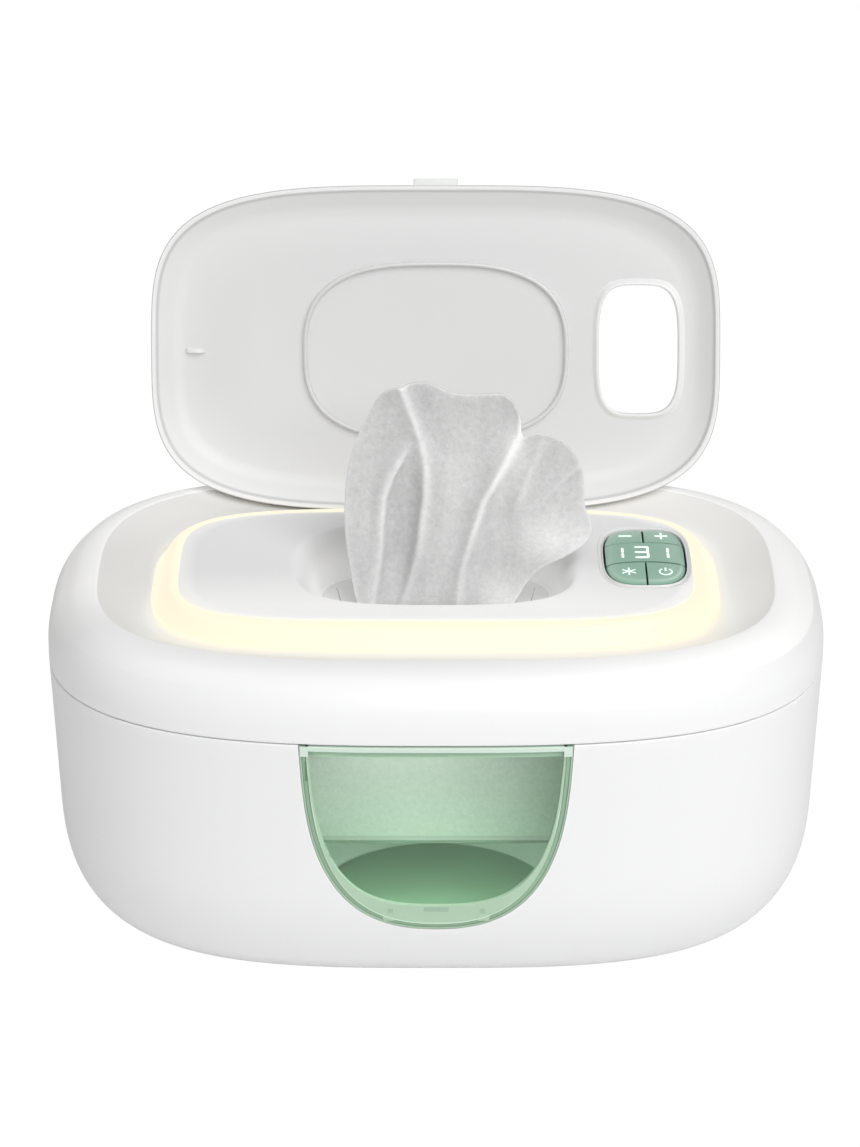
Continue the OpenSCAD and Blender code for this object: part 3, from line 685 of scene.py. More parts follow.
def make_base_shell():
    rim = SEAM_Z - SEAM_GAP / 2
    edge = 0.5
    heights = [PAD_T + (FOOT_RZ - PAD_T) * (k / 30) ** 1.7 for k in range(31)]
    heights += [mix(FOOT_RZ, rim - edge, k / 12) for k in range(1, 13)]
    rings = [base_ring(z) for z in heights]
    for k in range(1, 5):
        turn = math.radians(22.5 * k)
        inset = base_inset(rim) + edge * (1 - math.cos(turn))
        outline = oblong(SEAM_HW - inset, SEAM_HD - inset, SEAM_N)
        rings.append(at_height(outline, rim - edge + edge * math.sin(turn)))
    inner = [mix(rim, FOOT_RZ, k / 6) for k in range(7)]
    inner += [mix(PAD_T + FLOOR_T, FOOT_RZ, (1 - k / 14) ** 1.7) for k in range(1, 15)]
    rings += [base_ring(z, WALL, FLOOR_T) for z in inner]
    shell = loft("base_shell_moulded", rings)
    view = [(-WINDOW_HW - 0.25, SEAM_Z + 2)]
    view += [window_side(a, WINDOW_HW + 0.25, WINDOW_H + 0.25, RIM_CURVE) for a in range(180, 361, 3)]
    view += [(WINDOW_HW + 0.25, SEAM_Z + 2)]
    inlet = shifted(oblong(INLET_R, INLET_R, 2, 36), INLET_X, INLET_Z)
    carve(shell, [
        wall_prism("view_cut", view, -100, -60),
        block("leaf_cut", (-31.2, 80, 90), (31.2, 92, SEAM_Z + 1)),
        wall_prism("inlet_cut", inlet, 70, 92),
        prism("heater_cut", oblong(46.3, 26.3, 4, 96), 0, 4)])
    dress(shell, "base", WHITE, ["base_shell"])


def inwards(path, distance):
    """A window outline moved towards the window's middle."""
    out = []
    for i, (x, z) in enumerate(path):
        before, after = path[max(i - 1, 0)], path[min(i + 1, len(path) - 1)]
        dx, dz = after[0] - before[0], after[1] - before[1]
        length = math.hypot(dx, dz)
        out.append((x - dz / length * distance, z + dx / length * distance))
    return out


def front_strip(name, outer, inner, rise, deep, material, edge=0.25, stands_for=()):
    """A strip of the window's rim between two outlines, laid on the base's curved front."""
    rings = []
    for o, i in zip(outer, inner):
        width = math.hypot(o[0] - i[0], o[1] - i[1])
        share = min(0.3, edge / max(width, 0.01))
        half = ((0, deep), (0, rise + edge), (share, rise))
        ring = []
        for t, y in (*half, *((1 - t, y) for t, y in reversed(half))):
            x, z = mix(o[0], i[0], t), mix(o[1], i[1], t)
            ring.append((x, front_y(x, z) + y, z))
        rings.append(ring)
    dress(loft(name, rings, sharp_deg=30), "base", material, stands_for)


def front_mark(name, low, high, rise, deep, material):
    """A small block on the base's curved front, between two corners of its elevation."""
    across = [mix(low[0], high[0], k / 4) for k in range(5)]
    front = [[(x, front_y(x, z) + rise, z) for x in across] for z in (low[1], high[1])]
    back = [[(x, front_y(x, z) + deep, z) for x in across] for z in (low[1], high[1])]
    dress(grid_solid(name, front, back), "base", material)


def make_window():
    """The window's rim in its bands, the tinted pane inside it, and the small clips on its sill."""
    angles = [180 + 180 * k / 96 for k in range(97)]
    top = SEAM_Z - 0.5
    outer = [window_side(a, WINDOW_HW, WINDOW_H - 0.5, RIM_CURVE, 0.5) for a in angles]
    inner = [window_side(a, WINDOW_HW - 2.7, WINDOW_H - 12, PANE_CURVE, 2.9) for a in angles]
    line, band = inwards(outer, 0.45), inwards(outer, 2.0)
    bead = [(mix(b[0], i[0], min(1, 0.4 / math.dist(b, i))), mix(b[1], i[1], min(1, 0.4 / math.dist(b, i))))
            for b, i in zip(band, inner)]
    front_strip("window_rim_dark", line, band, 0.35, 2.6, RIM_GREEN, stands_for=["window_frame"])
    # painted highlight: a pale line along the rim's outer edge
    front_strip("window_rim_edge", outer, line, 0.0, 2.6, SILL_GREEN, 0.12)
    front_strip("window_sill", band, inner, 0.15, 2.6, SILL_GREEN, 0.12)
    # painted highlight: a bright bead along the sill's outer side
    front_strip("window_sill_bead", band, bead, -0.02, 1.0, HIGHLIGHT_GREEN, 0.1)
    half = WINDOW_HW - 0.1
    bar_top = [(mix(-half, half, k / 24), top) for k in range(25)]
    bar_low = [(mix(-half + 0.1, half - 0.1, k / 24), top - 1.75) for k in range(25)]
    front_strip("window_top_bar", bar_low, bar_top, 0.0, 2.6, BAR_GREEN)
    for side in (-1, 1):
        x0, x1 = sorted((side * 39.7, side * 42.3))
        front_mark(f"window_corner_{side + 1}", (x0, 98.0), (x1, top), -0.05, 2.2, BAR_GREEN)
    # painted shade: the slot is a dark block in place of a recess's shade
    front_mark("window_side_slot", (-40.8, 89.3), (-39.9, 96.0), 0.2, 2.4, SHADE_GREEN)
    # the clips' darker green is painted shade of their recesses
    for name, low, high, material in (
            ("window_clip_middle", (-3.9, 42.3), (3.9, 43.9), CLIP_GREEN),
            ("window_clip_left", (-15.2, 41.8), (-13.6, 43.3), CLIP_GREEN),
            ("window_clip_right", (13.8, 41.8), (15.4, 43.3), CLIP_GREEN),
            ("window_step_left", (-16.8, 38.6), (-13.2, 41.2), SILL_GREEN),
            ("window_step_right", (13.2, 38.6), (16.8, 41.2), SILL_GREEN)):
        front_mark(name, low, high, 0.05, 2.0, material)

    hw, h = WINDOW_HW - 2.3, WINDOW_H - 8.7
    rows = [window_side(180 + a, hw, h, PANE_CURVE)
            for a in (89, 86, 82, 78, 74, 70, 64, 58, 52, 46, 40, 34, 28, 22, 16, 10)]
    rows.append((-hw, SEAM_Z - 2.4))
    across = [k / 12 for k in range(-12, 13)]
    front = [[(-x * s, front_y(x * s, z) + 0.6, z) for s in across] for x, z in rows]
    back = [[(-x * s, front_y(x * s, z) + 2.4, z) for s in across] for x, z in rows]
    pane = grid_solid("window_pane_clear", front, back)
    pane.visible_shadow = False
    dress(pane, "base", WINDOW_GREEN, ["front_window"])


def tank_curve(z):
    t = (TANK_FOOT_H + 2.8 - z) / TANK_FOOT_H
    return 0.0 if t <= 0 else 1 - (1 - min(1.0, t) ** 2.2) ** (1 / 2.2)


def tank_ring(z, extra=0.0, up=0.0):
    inset = 0.03 * (TANK_TOP - z + up) + TANK_FOOT_R * tank_curve(z - up) + extra
    return at_height(oblong(TANK_HW - inset, TANK_HD - inset, TANK_N, 160), z)


def make_tank():
    low = TANK_FLOOR - TANK_T
    rings = [tank_ring(mix(low, 36.8, (k / 16) ** 1.5)) for k in range(17)]
    rings += [tank_ring(60), tank_ring(96.6)]
    rings += [at_height(oblong(122.6, 84.2, SEAM_N, 160), z) for z in (97, TANK_TOP)]
    rings += [tank_ring(z, TANK_T, TANK_T) for z in (TANK_TOP, 60, 38.2)]
    rings += [tank_ring(mix(TANK_FLOOR, 38.2, (1 - k / 14) ** 1.5), TANK_T, TANK_T) for k in range(1, 15)]
    tank = loft("wipe_tank_moulded", rings)
    carve(tank, [wall_prism("tank_view", shifted(oblong(47, 35.4, 6, 72), 0, 61.2), -80, -45)])
    dress(tank, "base", TANK_GREEN, ["wipe_tank"])


# ---- wipes and their lifter ----

def make_lifter():
    """The thin tray under the wipes, with a boss over each spring and a painted shadow band under its edge.
    """
    outline = oblong(STACK_HW - 0.6, STACK_HD - 0.6, STACK_N, 160)
    tray = plate("lifter_tray", [outline], LIFTER_Z + 0.35, LIFTER_Z + LIFTER_T, 0.1)
    dress(tray, "lifter", TRAY_GREEN, ["lifter_plate"])
    # painted shadow: a dark band under the tray's edge, where the shade beneath it falls
    edge = [(-1.0, 0.5), (-1.0, -0.8), (-3.0, -0.8), (-3.0, 0.5)]
    rib = loft("lifter_painted_shadow_band", [at_height(oblong(STACK_HW + g, STACK_HD + g, STACK_N, 160), LIFTER_Z + z)
                                   for g, z in edge], closed=True)
    dress(rib, "lifter", SHADE_GREEN)
    for side in (-1, 1):
        round_foot = shifted(oblong(4.6, 4.6, 2, 48), side * SPRING_X, 0)
        boss = plate(f"lifter_boss_{side + 1}", [round_foot], LIFTER_Z - 5, LIFTER_Z + 1, 0.3)
        dress(boss, "lifter", TRAY_GREEN)


def make_springs():
    """Two round-wire springs between the tank's floor and the tray."""
    turns, steps, thick, radius = 7, 24, 0.9, 7.0
    low, high = TANK_FLOOR + 0.3, LIFTER_Z - 0.1
    for side in (-1, 1):
        rings = []
        for k in range(turns * steps + 1):
            a = 2 * math.pi * k / steps
            z = low + thick + (high - low - 2 * thick) * k / (turns * steps)
            rings.append([(side * SPRING_X + (radius + x) * math.cos(a), (radius + x) * math.sin(a), z + y)
                          for x, y in oblong(thick, thick, 2, 12)])
        spring = loft(f"lifter_spring_{side + 1}", rings, sharp_deg=60)
        dress(spring, "base", STEEL, ["lifter_springs"])
        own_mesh(spring)


def make_stack():
    """Folded wipes, pressed into one soft block with faint layers on its sides."""
    layers, steps = 20, 3
    height = STACK_TOP - LIFTER_Z - LIFTER_T + 0.45  # the lowest ring lies that much above its foot
    rings = []
    for layer in range(layers):
        shift_y = 0.12 * noise.noise(Vector((layer * 2.3, 9.4, 0)))
        for k in range(steps):
            t = (k + 0.5) / steps
            bulge = 0.12 * (1 - math.sqrt(max(0.0, 1 - (2 * t - 1) ** 2)))
            outline = oblong(STACK_HW - 0.5 - bulge, STACK_HD - 0.5 - bulge, STACK_N, 160)
            level = STACK_TOP - height * (1 - (layer + t) / layers)
            rings.append(at_height(shifted(outline, 0, shift_y), level))
    stack = loft("stacked_wipes", rings, sharp_deg=80)
    # painted light and shade on the stack's front: paler higher up and darker towards its right end; the
    # rest stays even
    write_mask(stack, "painted_cloth_light", lambda x, y, z: (
        min(0.85, 0.36 + 0.4 * (z - 52) / 20) * (1 - 0.5 * clamp((x - 22) / 18))) if y < -40 else 0.8)
    dress(stack, "lifter", STACK_CLOTH, ["wipe_stack"])


# ---- cover ----

SHOULDER = [
    (0.0, 102.75), (-0.02, 103.4), (0, 105), (0.1, 109), (0.9, 113), (2.95, 116.8), (5.7, 120),
    (8.6, 122.4), (12, 123.7), (15.0, 124.1), (16.2, 123.95), (17.3, 123.3), (20, 121.95), (24, 120.35),
    (28, 119.25), (30.8, 118.8), (33.3, 118.7)]
SHOULDER_UNDER = [
    (33.9, 118.2), (33.9, 114.6), (31.4, 114.6), (31, 116.4), (24, 118), (17, 121), (12.6, 121.2),
    (7.4, 118.4), (4, 114.4), (2.4, 110), (2.4, 102.2), (0.6, 102.2), (0.15, 102.35)]

# The underside of the open lid above the cover: rear distance and height.
LID_BACK = [(54.0, 119.9), (55.7, 120.06), (57.6, 119.4), (60.2, 119.02), (63.3, 119.42), (66.4, 121.0),
            (69.2, 123.8), (71.8, 128.2), (75.2, 136.4)]


def lid_back_z(x, y):
    """Height of the open lid over a place at the cover's rear."""
    lean = math.radians(LID_OPEN)
    back = LID_HD * (1 - (1 - min(1.0, abs(x) / LID_HW) ** LID_N) ** (1 / LID_N))
    y += math.cos(lean) * back
    rise = math.sin(lean) * back
    if y <= LID_BACK[0][0]:
        return LID_BACK[0][1] + rise + (LID_BACK[0][0] - y)
    for (y0, z0), (y1, z1) in zip(LID_BACK, LID_BACK[1:]):
        if y <= y1:
            return mix(z0, z1, (y - y0) / (y1 - y0)) + rise
    return LID_BACK[-1][1] + rise


def under_lid(point):
    """Lowers the cover's surface softly, so that it follows the open lid with a small gap."""
    x, y, z = point
    z += 1.1 * clamp((y - 25) / 40) * clamp((z - 120.6) / 3)
    if y < 40 or z < 118.3:
        return x, y, z
    room = lid_back_z(x, y) - 0.55
    softness = 0.35
    over = min(40.0, (z - room) / softness)
    return x, y, max(118.25, z - softness * math.log(1 + math.exp(over)))


def shoulder_sizes(run):
    """The cover's plan at a distance in from the seam: half sizes, squareness and shift along Y."""
    t = run / SHOULDER_RUN
    return (mix(SEAM_HW, DECK_HW + LIP_GROW, t), mix(SEAM_HD, DECK_HD + LIP_GROW, t),
            mix(SEAM_N, LIP_N, max(0.0, t)), DECK_Y * t)


def shoulder_ring(point):
    *sizes, shift_y = shoulder_sizes(point[0])
    return at_height(shifted(oblong(*sizes), 0, shift_y), point[1])


def dish_inside(x, y, z):
    """Whether a place lies in the dish, inside the crest of the shoulder."""
    *sizes, shift_y = shoulder_sizes(CREST_RUN)
    away = -grow_at(x, y - shift_y, *sizes)
    return clamp(away / 0.5) if z > 117 else 0.0


def spill_outside(x, y, z):
    """Painted light on the cover: the light guide's glow on it, a painted highlight on the outer side of its
    crest, and more painted light towards the right.
    """
    crest = (0.30 if x < 0 else 0.12) * min(1.0, abs(x) / 80) * clamp((y + 45) / 30)
    crest *= clamp((z - 113) / 6) * (1 - dish_inside(x, y, z))
    if z <= 118:
        return crest
    away = max(0.0, grow_at(x, y - DECK_Y, DECK_HW, DECK_HD, DECK_N) - 7.6)
    front = clamp((10 - y) / 60)
    side = 0.16 * max(0.0, x / 100)
    near, wide = math.exp(-away / 1.7), math.exp(-away / 9)
    return min(1.0, 0.75 * near + 0.5 * wide * front ** 2 + side + crest)


def spill_inside(x, y, z):
    """Painted light on the deck: the light guide's glow near it and towards the front, and painted light on
    the funnel's wall.
    """
    if z < 125:
        return 0.3 * clamp((125.2 - z) / 10) if z > 108 else 0.0
    away = max(0.0, -grow_at(x, y - DECK_Y, DECK_HW, DECK_HD, DECK_N))
    front = clamp((-y - 6) / 26)
    return 0.42 * math.exp(-away / 0.8) + 0.26 * front


def make_cover_shell():
    rings = [[under_lid(p) for p in shoulder_ring(q)] for q in smooth_path(SHOULDER, 5)]
    rings += [shoulder_ring(q) for q in SHOULDER_UNDER]
    shell = loft("cover_shell_moulded", rings, closed=True)
    carve(shell, [
        *[block(f"knuckle_notch_{side}", (x - NOTCH_HW, 52.5, 114.4), (x + NOTCH_HW, 62, 130))
          for side, x in ((-1, -LID_HINGE_X), (1, LID_HINGE_X))],
        block("leaf_pocket", (-31.2, 82, 100), (31.2, 94, 110.4))])
    write_mask(shell, "painted_ring_light", spill_outside)
    write_mask(shell, "dish_painted_shade", dish_inside)
    dress(shell, "cover", COVER_WHITE, ["cover_shell"])


def make_light_ring():
    profile = smooth_path([(0.03, 125.42), (1.6, 125.5), (3.0, 125.3), (4.3, 124.5), (5.5, 123.0),
                           (6.8, 120.9), (8.35, 118.6)], 4)
    profile += [(8.35, 117.6), (6.5, 117.4), (6.5, 108.9), (4.9, 108.9), (4.9, 118.6), (3.1, 121),
                (1.4, 122.7), (0.03, 122.7)]
    ring = loft("light_guide_ring", [at_height(deck_outline(g), z) for g, z in profile], closed=True)
    dress(ring, "cover", GLOW, ["light_ring"])


# The funnel's faces: share of the way from mouth to throat, and height.
FUNNEL = [(0.0, 125.5), (0.12, 125.45), (0.26, 125.1), (0.4, 124.1), (0.55, 122), (0.68, 119), (0.82, 115),
          (1, 109)]
FUNNEL_UNDER = [(0.78, 109), (0.64, 114), (0.5, 118.4), (0.34, 121.4), (0.18, 122.9), (0, 123.1)]


def funnel_ring(share, z):
    return at_height(oblong(*(mix(a, b, share) for a, b in zip(MOUTH, THROAT))), z)


def panel_surround(share):
    """Outlines from the outer edge of the panel's soft surround to the panel itself."""
    return shifted(oblong(PANEL_HW + mix(1.7, 0.1, share), PANEL_HD + mix(2.4, 0.1, share), PANEL_N, 160),
                   PANEL_X - mix(0.2, 0, share), PANEL_Y + mix(0.4, KEY_SHIFT, share))


def make_deck():
    """The deck and its funnel as one smooth moulding, with the opening for the panel."""
    under = DECK_Z - WALL
    side = ((0, 107.6), (0, 124), (0, 125.2), (0.1, 125.43), (0.3, DECK_Z))
    rings = [at_height(deck_outline(-g), z) for g, z in side]
    edge, mouth = deck_outline(-0.3), oblong(*MOUTH)
    rings += [[(mix(p[0], q[0], s), mix(p[1], q[1], s), DECK_Z) for p, q in zip(edge, mouth)]
              for s in (0.15, 0.3, 0.45, 0.6, 0.75, 0.9)]
    rings += [funnel_ring(*p) for p in smooth_path(FUNNEL, 5)]
    rings += [funnel_ring(*p) for p in smooth_path(FUNNEL_UNDER, 2)]
    rings += [at_height(deck_outline(-1.1), z) for z in (under, 107.6)]
    deck = loft("deck_and_funnel", rings, closed=True)
    hole = [(mix(p[0], PANEL_X, -0.004), mix(p[1], PANEL_Y, -0.003)) for p in panel_surround(0)]
    carve(deck, [prism("panel_cut", hole, under - 2, DECK_Z + 3)])
    write_mask(deck, "painted_ring_light", spill_inside)
    dress(deck, "cover", DECK_WHITE, ["dispenser_deck", "funnel"])


def slit_edge(x):
    """The slit runs a little to the rear at both ends."""
    return 0.012 * max(0.0, abs(x) - 10) ** 1.5


def make_membrane():
    """The soft membrane in the throat, parted by the wipe and cut across at both ends of its slit."""
    seat = oblong(THROAT[0] + 3.2, THROAT[1] + 3.2, THROAT[2], 160)
    slab = plate("slit_membrane_soft", [seat], MEMBRANE_Z, MEMBRANE_Z + 1.1, 0.2)
    along = [33 * k / 20 for k in range(-20, 21)]
    gap = [0.35 + 5 * max(0.0, math.cos(math.radians(90 * x / 33))) ** 1.5 for x in along]
    slit = [(x, slit_edge(x) - g) for x, g in zip(along, gap)]
    slit += [(x, slit_edge(x) + g) for x, g in zip(reversed(along), reversed(gap))]
    ends = []
    for side in (-1, 1):
        path = smooth_path([(-31.4, 6.5), (-31.6, 8.6), (-32.2, 13), (-32.9, 17.2)], 4)
        path = [(side * -x, y) for x, y in path]
        outline = [(x - 0.14, y) for x, y in path] + [(x + 0.14, y) for x, y in reversed(path)]
        ends.append(prism(f"slit_end_{side}", outline, 105, 112))
    carve(slab, [prism("slit_cut", slit, 105, 112), *ends])
    dress(slab, "cover", MEMBRANE, ["slit_membrane"])


# ---- control panel ----

def split_y(x, y):
    return y + ROW_SAG * (1 - (x / PANEL_HW) ** 2)


def panel_edge(x):
    return KEY_HD * max(0.0, 1 - (abs(x) / KEY_HW) ** PANEL_N) ** (1 / PANEL_N)


def key_point(u, v, x0, x1, near, far):
    """A place on a panel piece, from 0 to 1 across and from its near to its far edge."""
    x = mix(x0, x1, u)
    low = KEY_SHIFT - panel_edge(x) if near is None else split_y(x, near)
    high = KEY_SHIFT + panel_edge(x) if far is None else split_y(x, far)
    return x, mix(low, high, v)


def pillow(x, y):
    """Height of the domed top that all the panel's pieces share."""
    rho = key_rho(x, y)
    return KEY_TOP + 0.25 * (1 - rho * rho) - 1.3 * (1 - math.sqrt(1 - rho ** 11))


def key_rho(x, y):
    """0 in the middle of the keys, 1 at their rounded outline."""
    power = (abs(x) / KEY_HW) ** PANEL_N + (abs(y - KEY_SHIFT) / KEY_HD) ** PANEL_N
    return min(1.0, power ** (1 / PANEL_N))


def seam_shade(x, y, z):
    """1 along the seams between the panel's rows."""
    x, y = x - PANEL_X, y - PANEL_Y
    return max(0.0, 1.15 - min(abs(y - split_y(x, e)) for e in (FAR_SPLIT, NEAR_SPLIT)) / 0.55)


def near_edge_light(x, y, z):
    """The soft band of light along the near edge of the keys, strongest at the right corner."""
    x, y = x - PANEL_X, y - PANEL_Y
    if y > 0 or z <= 124.6:
        return 0.0
    band = math.exp(-((key_rho(x, y) - 0.905) / 0.03) ** 2)
    return band * (0.5 + 0.4 * x / KEY_HW) * min(1.0, -y / 12)


def make_key(name, node, body, x0, x1, near, far):
    steps = 30
    spread = [(1 - math.cos(math.pi * k / steps)) / 2 for k in range(steps + 1)]
    top, foot = [], []
    for v in spread:
        top_row, foot_row = [], []
        for u in spread:
            x, y = key_point(u, v, x0, x1, near, far)
            away = [abs(x - e) for e in (x0, x1) if abs(e) < 1]
            away += [abs(y - split_y(x, e)) for e in (near, far) if e is not None]
            sunk = 0.15 * max(0.0, 1 - min(away) / 0.3) ** 2
            top_row.append((PANEL_X + x, PANEL_Y + y, pillow(x, y) - sunk))
            foot_row.append((PANEL_X + x, PANEL_Y + y, KEY_LOW))
        top.append(top_row)
        foot.append(foot_row)
    piece = grid_solid(name, top, foot, 50)
    write_mask(piece, "seam_shade", seam_shade)
    write_mask(piece, "edge_light", near_edge_light)
    dress(piece, body, KEY_GREEN, [node])


def mark(name, body, outline):
    """A flat lit mark on the panel, given as an outline about the panel's middle."""
    middle = (sum(values) / len(outline) for values in zip(*outline))
    level = pillow(*middle)
    piece = prism(name, shifted(outline, PANEL_X, PANEL_Y), level - 0.35, level + 0.06)
    dress(piece, body, SYMBOL)


def bar_outline(cx, cy, hw, hh):
    return shifted(oblong(hw, hh, 5, 24), cx, cy)


def star_outline(cx, cy, reach_x, reach_y, half, arms):
    """A star of straight arms of equal width, as one outline."""
    out = []
    step = 360 / arms
    notch = half / math.sin(math.radians(step / 2))
    for k in range(arms):
        a = math.radians(90 + step * k)
        side = Vector((math.cos(a), math.sin(a)))
        across = Vector((-side.y, side.x))
        out += [(cx + side.x * reach_x + across.x * s * half, cy + side.y * reach_y + across.y * s * half)
                for s in (-1, 1)]
        b = a + math.radians(step / 2)
        out.append((cx + notch * math.cos(b), cy + notch * math.sin(b)))
    return out


def arc_outline(cx, cy, rx, ry, half, start, end):
    angles = [math.radians(mix(start, end, k / 28)) for k in range(29)]
    outer = [(cx + (rx + half) * math.cos(a), cy + (ry + half) * math.sin(a)) for a in angles]
    inner = [(cx + (rx - half) * math.cos(a), cy + (ry - half) * math.sin(a)) for a in reversed(angles)]
    return outer + inner


def make_panel():
    left, right = (-KEY_EDGE, -KEY_INNER), (KEY_INNER, KEY_EDGE)
    far, near = (FAR_SPLIT + KEY_GAP, None), (None, NEAR_SPLIT - KEY_GAP)
    for key, sides, rows in (
            ("minus", left, far), ("plus", right, far), ("mode", left, near), ("power", right, near)):
        make_key(f"{key}_key_cap", f"{key}_key", f"{key}_button", *sides, *rows)
    make_key("display_band", "display_lens", "cover", -KEY_EDGE, KEY_EDGE, NEAR_SPLIT, FAR_SPLIT)
    mark("minus_mark", "minus_button", bar_outline(-5.8, 16.1, 2.2, 0.5))
    mark("plus_bar_mark", "plus_button", bar_outline(6.0, 16.1, 2.15, 0.5))
    mark("plus_upright_mark", "plus_button", bar_outline(6.0, 16.1, 0.33, 2.6))
    mark("warmth_mark", "mode_button", star_outline(-5.7, -12.4, 2.5, 2.75, 0.24, 6))
    mark("power_ring_mark", "power_button", arc_outline(6.2, -12.6, 2.0, 2.35, 0.25, 122, 418))
    mark("power_bar_mark", "power_button", bar_outline(6.2, -10.9, 0.28, 1.3))
    # plain segment digits: each with its middle, its height, its width and the bars that are lit
    thick, slim = 0.55, 0.42
    for label, cx, cy, high, wide, lit in (
            ("left", -8.2, 2.2, 8.2, 2.2, "bc"), ("middle", -1.0, 2.7, 9.4, 4.4, "abcdg"),
            ("right", 6.6, 2.2, 8.2, 2.2, "bc")):
        bars = {
            "a": (0, high / 2 - thick, wide / 2, thick), "g": (0, 0, wide / 2, thick),
            "d": (0, -high / 2 + thick, wide / 2, thick),
            "b": (wide / 2 - 0.1, high / 4, slim, high / 4 - 0.3),
            "c": (wide / 2 - 0.1, -high / 4, slim, high / 4 - 0.3)}
        for letter in lit:
            x, y, hw, hh = bars[letter]
            mark(f"digit_{label}_{letter}", "cover", bar_outline(cx + x, cy + y, hw, hh))
    slope = smooth_path([(0.0, DECK_Z), (0.25, 125.42), (0.55, 125.05), (0.8, 124.8), (0.94, 124.9),
                         (1.0, 124.75)], 4) + [(1.0, 122), (0.0, 122)]
    bezel = loft("panel_surround", [at_height(panel_surround(t), z) for t, z in slope], closed=True)
    dress(bezel, "cover", INNER_WHITE, ["panel_bezel"])
    bead = ((0.72, 124.5), (0.74, 125.3), (0.78, 125.45), (0.93, 125.45), (0.97, 125.3), (0.99, 124.5))
    lip = loft("panel_lip", [at_height(panel_surround(t), z) for t, z in bead])
    dress(lip, "cover", LID_GLOSS)


# ---- lid ----

# The lid's outer and inner faces: how far in from its edge, and how high over its rim.
LID_OUTER = [(0.3, 0.0), (0.05, 0.25), (0, 0.7), (0, 2), (0.5, 4.6), (1.9, 7.4), (4.4, 9.8), (8, 11.5),
             (13, 12.5), (22, 13)]
LID_INNER = [(22, 9.0), (12.5, 9.0), (9.5, 8.8), (6.8, 7.9), (4.6, 6.0), (3.0, 3.8), (2.1, 2.0),
             (1.75, 0.7), (1.55, 0.15), (1.35, 0)]


def lid_ring(point):
    inset, height = point
    return at_height(oblong(LID_HW - inset, LID_HD - inset, LID_N), RIM_Z + height)


def hole_outline(grow=0.0):
    return shifted(oblong(HOLE_HW + grow, HOLE_HD + grow, HOLE_N, 120), HOLE_X, HOLE_Y)


def height_on(path, inset):
    """The height of a lid profile at a distance in from the lid's edge."""
    ends = sorted(path)
    for (i0, h0), (i1, h1) in zip(ends, ends[1:]):
        if i0 <= inset <= i1:
            return mix(h0, h1, (inset - i0) / max(1e-6, i1 - i0))
    return ends[-1][1] if inset > ends[-1][0] else ends[0][1]


def on_lid_outside(x, y, z):
    inset = -grow_at(x, y, LID_HW, LID_HD, LID_N)
    rise = z - RIM_Z
    return abs(rise - height_on(LID_OUTER, inset)) < abs(rise - height_on(LID_INNER, inset))


def lid_outside(x, y, z):
    """1 on the lid's outer face, apart from the thin line of its rim."""
    return clamp(z - RIM_Z - 0.8) if on_lid_outside(x, y, z) else 0.0


def painted_lid_light(x, y, z):
    """Painted light on the lid's inside, most of all along its wall and low down, with a painted shade line
    just inside its rim.
    """
    if on_lid_outside(x, y, z):
        return 0.0
    inset = -grow_at(x, y, LID_HW, LID_HD, LID_N)
    low = clamp((y - 10) / 40)
    light = 0.42 + 0.42 * math.exp(-max(0.0, inset) / 9) + (0.26 if x < 0 else 0.10) * low
    return light * (1 - 0.7 * math.exp(-((inset - 1.95) / 0.4) ** 2))


def make_lid():
    lid = loft("lid_moulded", [lid_ring(p) for p in smooth_path(LID_INNER, 4) + smooth_path(LID_OUTER, 4)])
    notches = [block(f"hinge_notch_{side}", (x - NOTCH_HW, 45, RIM_Z - 4), (x + NOTCH_HW, 60, RIM_Z + 3.4))
               for side, x in ((-1, -LID_HINGE_X), (1, LID_HINGE_X))]
    carve(lid, [prism("lid_hole", hole_outline(), 115, 140), *notches])
    write_mask(lid, "lid_inside_painted_light", painted_lid_light)
    write_mask(lid, "outer_face", lid_outside)
    dress(open_lid(lid), "lid", LID_WHITE, ["lid_shell", "lid_liner"])

    corners = [(-7.4, -57), (7.4, -57), (7.4, -54), (-7.4, -54)]
    tab = plate("lift_tab", [corners], RIM_Z + 0.6, RIM_Z + 4, 0.5)
    dress(open_lid(tab), "lid", INNER_WHITE)

    # the raised rim round the hole in the lid
    section = smooth_path([(2.5, 0.1), (1.9, -0.25), (1.3, -0.8), (0.9, -1.1), (0.4, -1.15),
                           (0.02, -0.9)], 4) + [(0.02, 0.3), (2.5, 0.3)]
    collar = loft("hole_rim", [at_height(hole_outline(g), LINER_Z + z) for g, z in section], closed=True)
    dress(open_lid(collar), "lid", LID_GLOSS)

    section = smooth_path([(1.4, 0.1), (0.5, 0.0), (0.15, -1.6), (-0.1, -2.2), (-0.45, -2.35), (-0.8, -2.2),
                           (-1.05, -1.6), (-1.4, 0.0), (-2.3, 0.1)], 4) + [(-2.3, 0.3), (1.4, 0.3)]
    rib = loft("seal_rib", [at_height(shifted(oblong(RIB_HW + g, RIB_HD + g, RIB_N), 0, RIB_Y), LINER_Z + z)
                            for g, z in section], closed=True)
    dress(open_lid(rib), "lid", RIB_WHITE, ["lid_seal"])

    arch = [(FIN_X + 3.3 * math.cos(a), -2.6 * math.sin(a)) for a in map(math.radians, range(0, 181, 12))]
    fin = loft("finger_fin", [[(x, y, LINER_Z + 0.1 + z) for x, z in arch] for y in (0.25, 1.75)])
    dress(open_lid(fin), "lid", LID_GLOSS)


# ---- the wipe that stands in the slit ----

